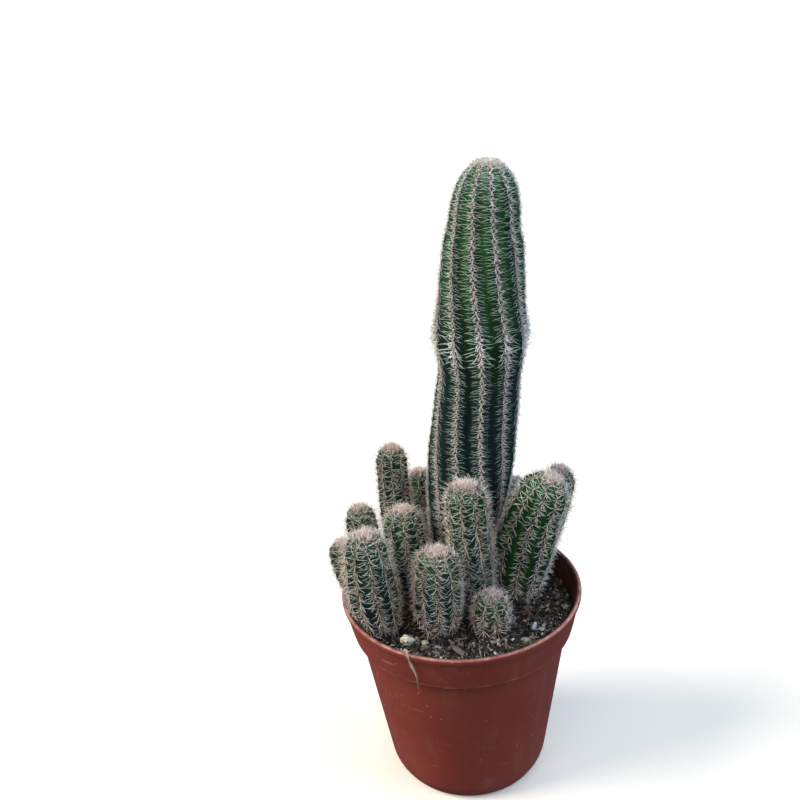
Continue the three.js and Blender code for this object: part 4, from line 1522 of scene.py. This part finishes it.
class CACTUS_OT_soil(bpy.types.Operator):
    """Model the soil and the crumbs, grit and fibres on it"""

    bl_idname = "cactus.soil"
    bl_label = "Soil"

    def execute(self, context):
        look = context.scene.cactus_soil
        make_soil(peat(look))
        loose = crumb(look)
        make_litter(look, loose)
        make_fibres(look, loose)
        return {"FINISHED"}


class CACTUS_OT_stones(bpy.types.Operator):
    """Model the loose stones, the bark chip and the dry root"""

    bl_idname = "cactus.stones"
    bl_label = "Stones and dry root"

    def execute(self, context):
        look = context.scene.cactus_soil
        finishes = {
            "perlite_stone": mineral("perlite", look.stone, look.stone_stain, 1400, 0.5),
            "tan_grain": mineral("tan_grit", look.tan, look.stone_stain, 1800, 0.3),
            "bark_chip": mineral("bark", look.bark, look.peat_dark, 1200, 0.5),
            "white_shard": mineral("white_grit", look.white_grit, look.grey_grit, 1500, 0.3),
            "grey_shard": mineral("grey_grit", look.grey_grit, look.peat_brown, 1600, 0.6),
            "olive_shard": mineral("olive_grit", look.olive_grit, look.peat_dark, 1600, 0.6),
            "bark_splinter": mineral("splinter", look.splinter, look.peat_brown, 900, 0.6),
            "grey_flake": mineral("flake", look.grey_grit, look.peat_dark, 1500, 0.5),
        }
        for name, *values in LOOSE:
            make_stone(name, *values, finishes[name])
        make_root(dry_fibre(look))
        return {"FINISHED"}


class CACTUS_OT_stems(bpy.types.Operator):
    """Model the ribbed bodies of the column and its offsets"""

    bl_idname = "cactus.stems"
    bl_label = "Stems"

    def execute(self, context):
        material = stem_skin(context.scene.cactus_plant)
        for form in FORMS:
            make_skin(form, material)
        return {"FINISHED"}


class CACTUS_OT_needles(bpy.types.Operator):
    """Model the needles, felt pads and woolly crowns"""

    bl_idname = "cactus.needles"
    bl_label = "Needles and felt"

    def execute(self, context):
        plant = context.scene.cactus_plant
        wool = felt(plant)
        straw = needle(plant, "needle", plant.needle_root_and_shade, plant.needle_straw, plant.needle_tip)
        comb = needle(plant, "comb_needle", plant.comb_root, plant.comb_straw, plant.comb_tip)
        mat = needle(plant, "mat_needle", plant.mat_root, plant.mat_straw, plant.mat_tip)
        for form in FORMS:
            make_pads(form, wool)
            make_needles(form, plant, comb, mat if form.is_column else straw)
            make_crown(form, plant, wool)
        return {"FINISHED"}


class CACTUS_PT_panel(bpy.types.Panel):
    """Lists the steps that build the cactus"""

    bl_idname = "CACTUS_PT_panel"
    bl_label = "Potted cactus"
    bl_space_type = "VIEW_3D"
    bl_region_type = "UI"
    bl_category = "Cactus"

    def draw(self, context):
        for step in STEPS:
            self.layout.operator(step.bl_idname)


LOOKS = {
    "cactus_plant": PlantLook,
    "cactus_pot": PotLook,
    "cactus_soil": SoilLook,
    "cactus_stage": StageLook,
}
STEPS = (
    CACTUS_OT_stage, CACTUS_OT_pot, CACTUS_OT_soil, CACTUS_OT_stones, CACTUS_OT_stems,
    CACTUS_OT_needles,
)


def register():
    for kind in (*LOOKS.values(), *STEPS, CACTUS_PT_panel):
        bpy.utils.register_class(kind)
    for name, look in LOOKS.items():
        setattr(bpy.types.Scene, name, PointerProperty(type=look))


def unregister():
    for name in LOOKS:
        delattr(bpy.types.Scene, name)
    for kind in (CACTUS_PT_panel, *reversed(STEPS), *reversed(LOOKS.values())):
        bpy.utils.unregister_class(kind)


def main():
    register()
    for step in STEPS:
        getattr(bpy.ops.cactus, step.bl_idname.split(".")[1])()


if __name__ == "__main__":
    main()
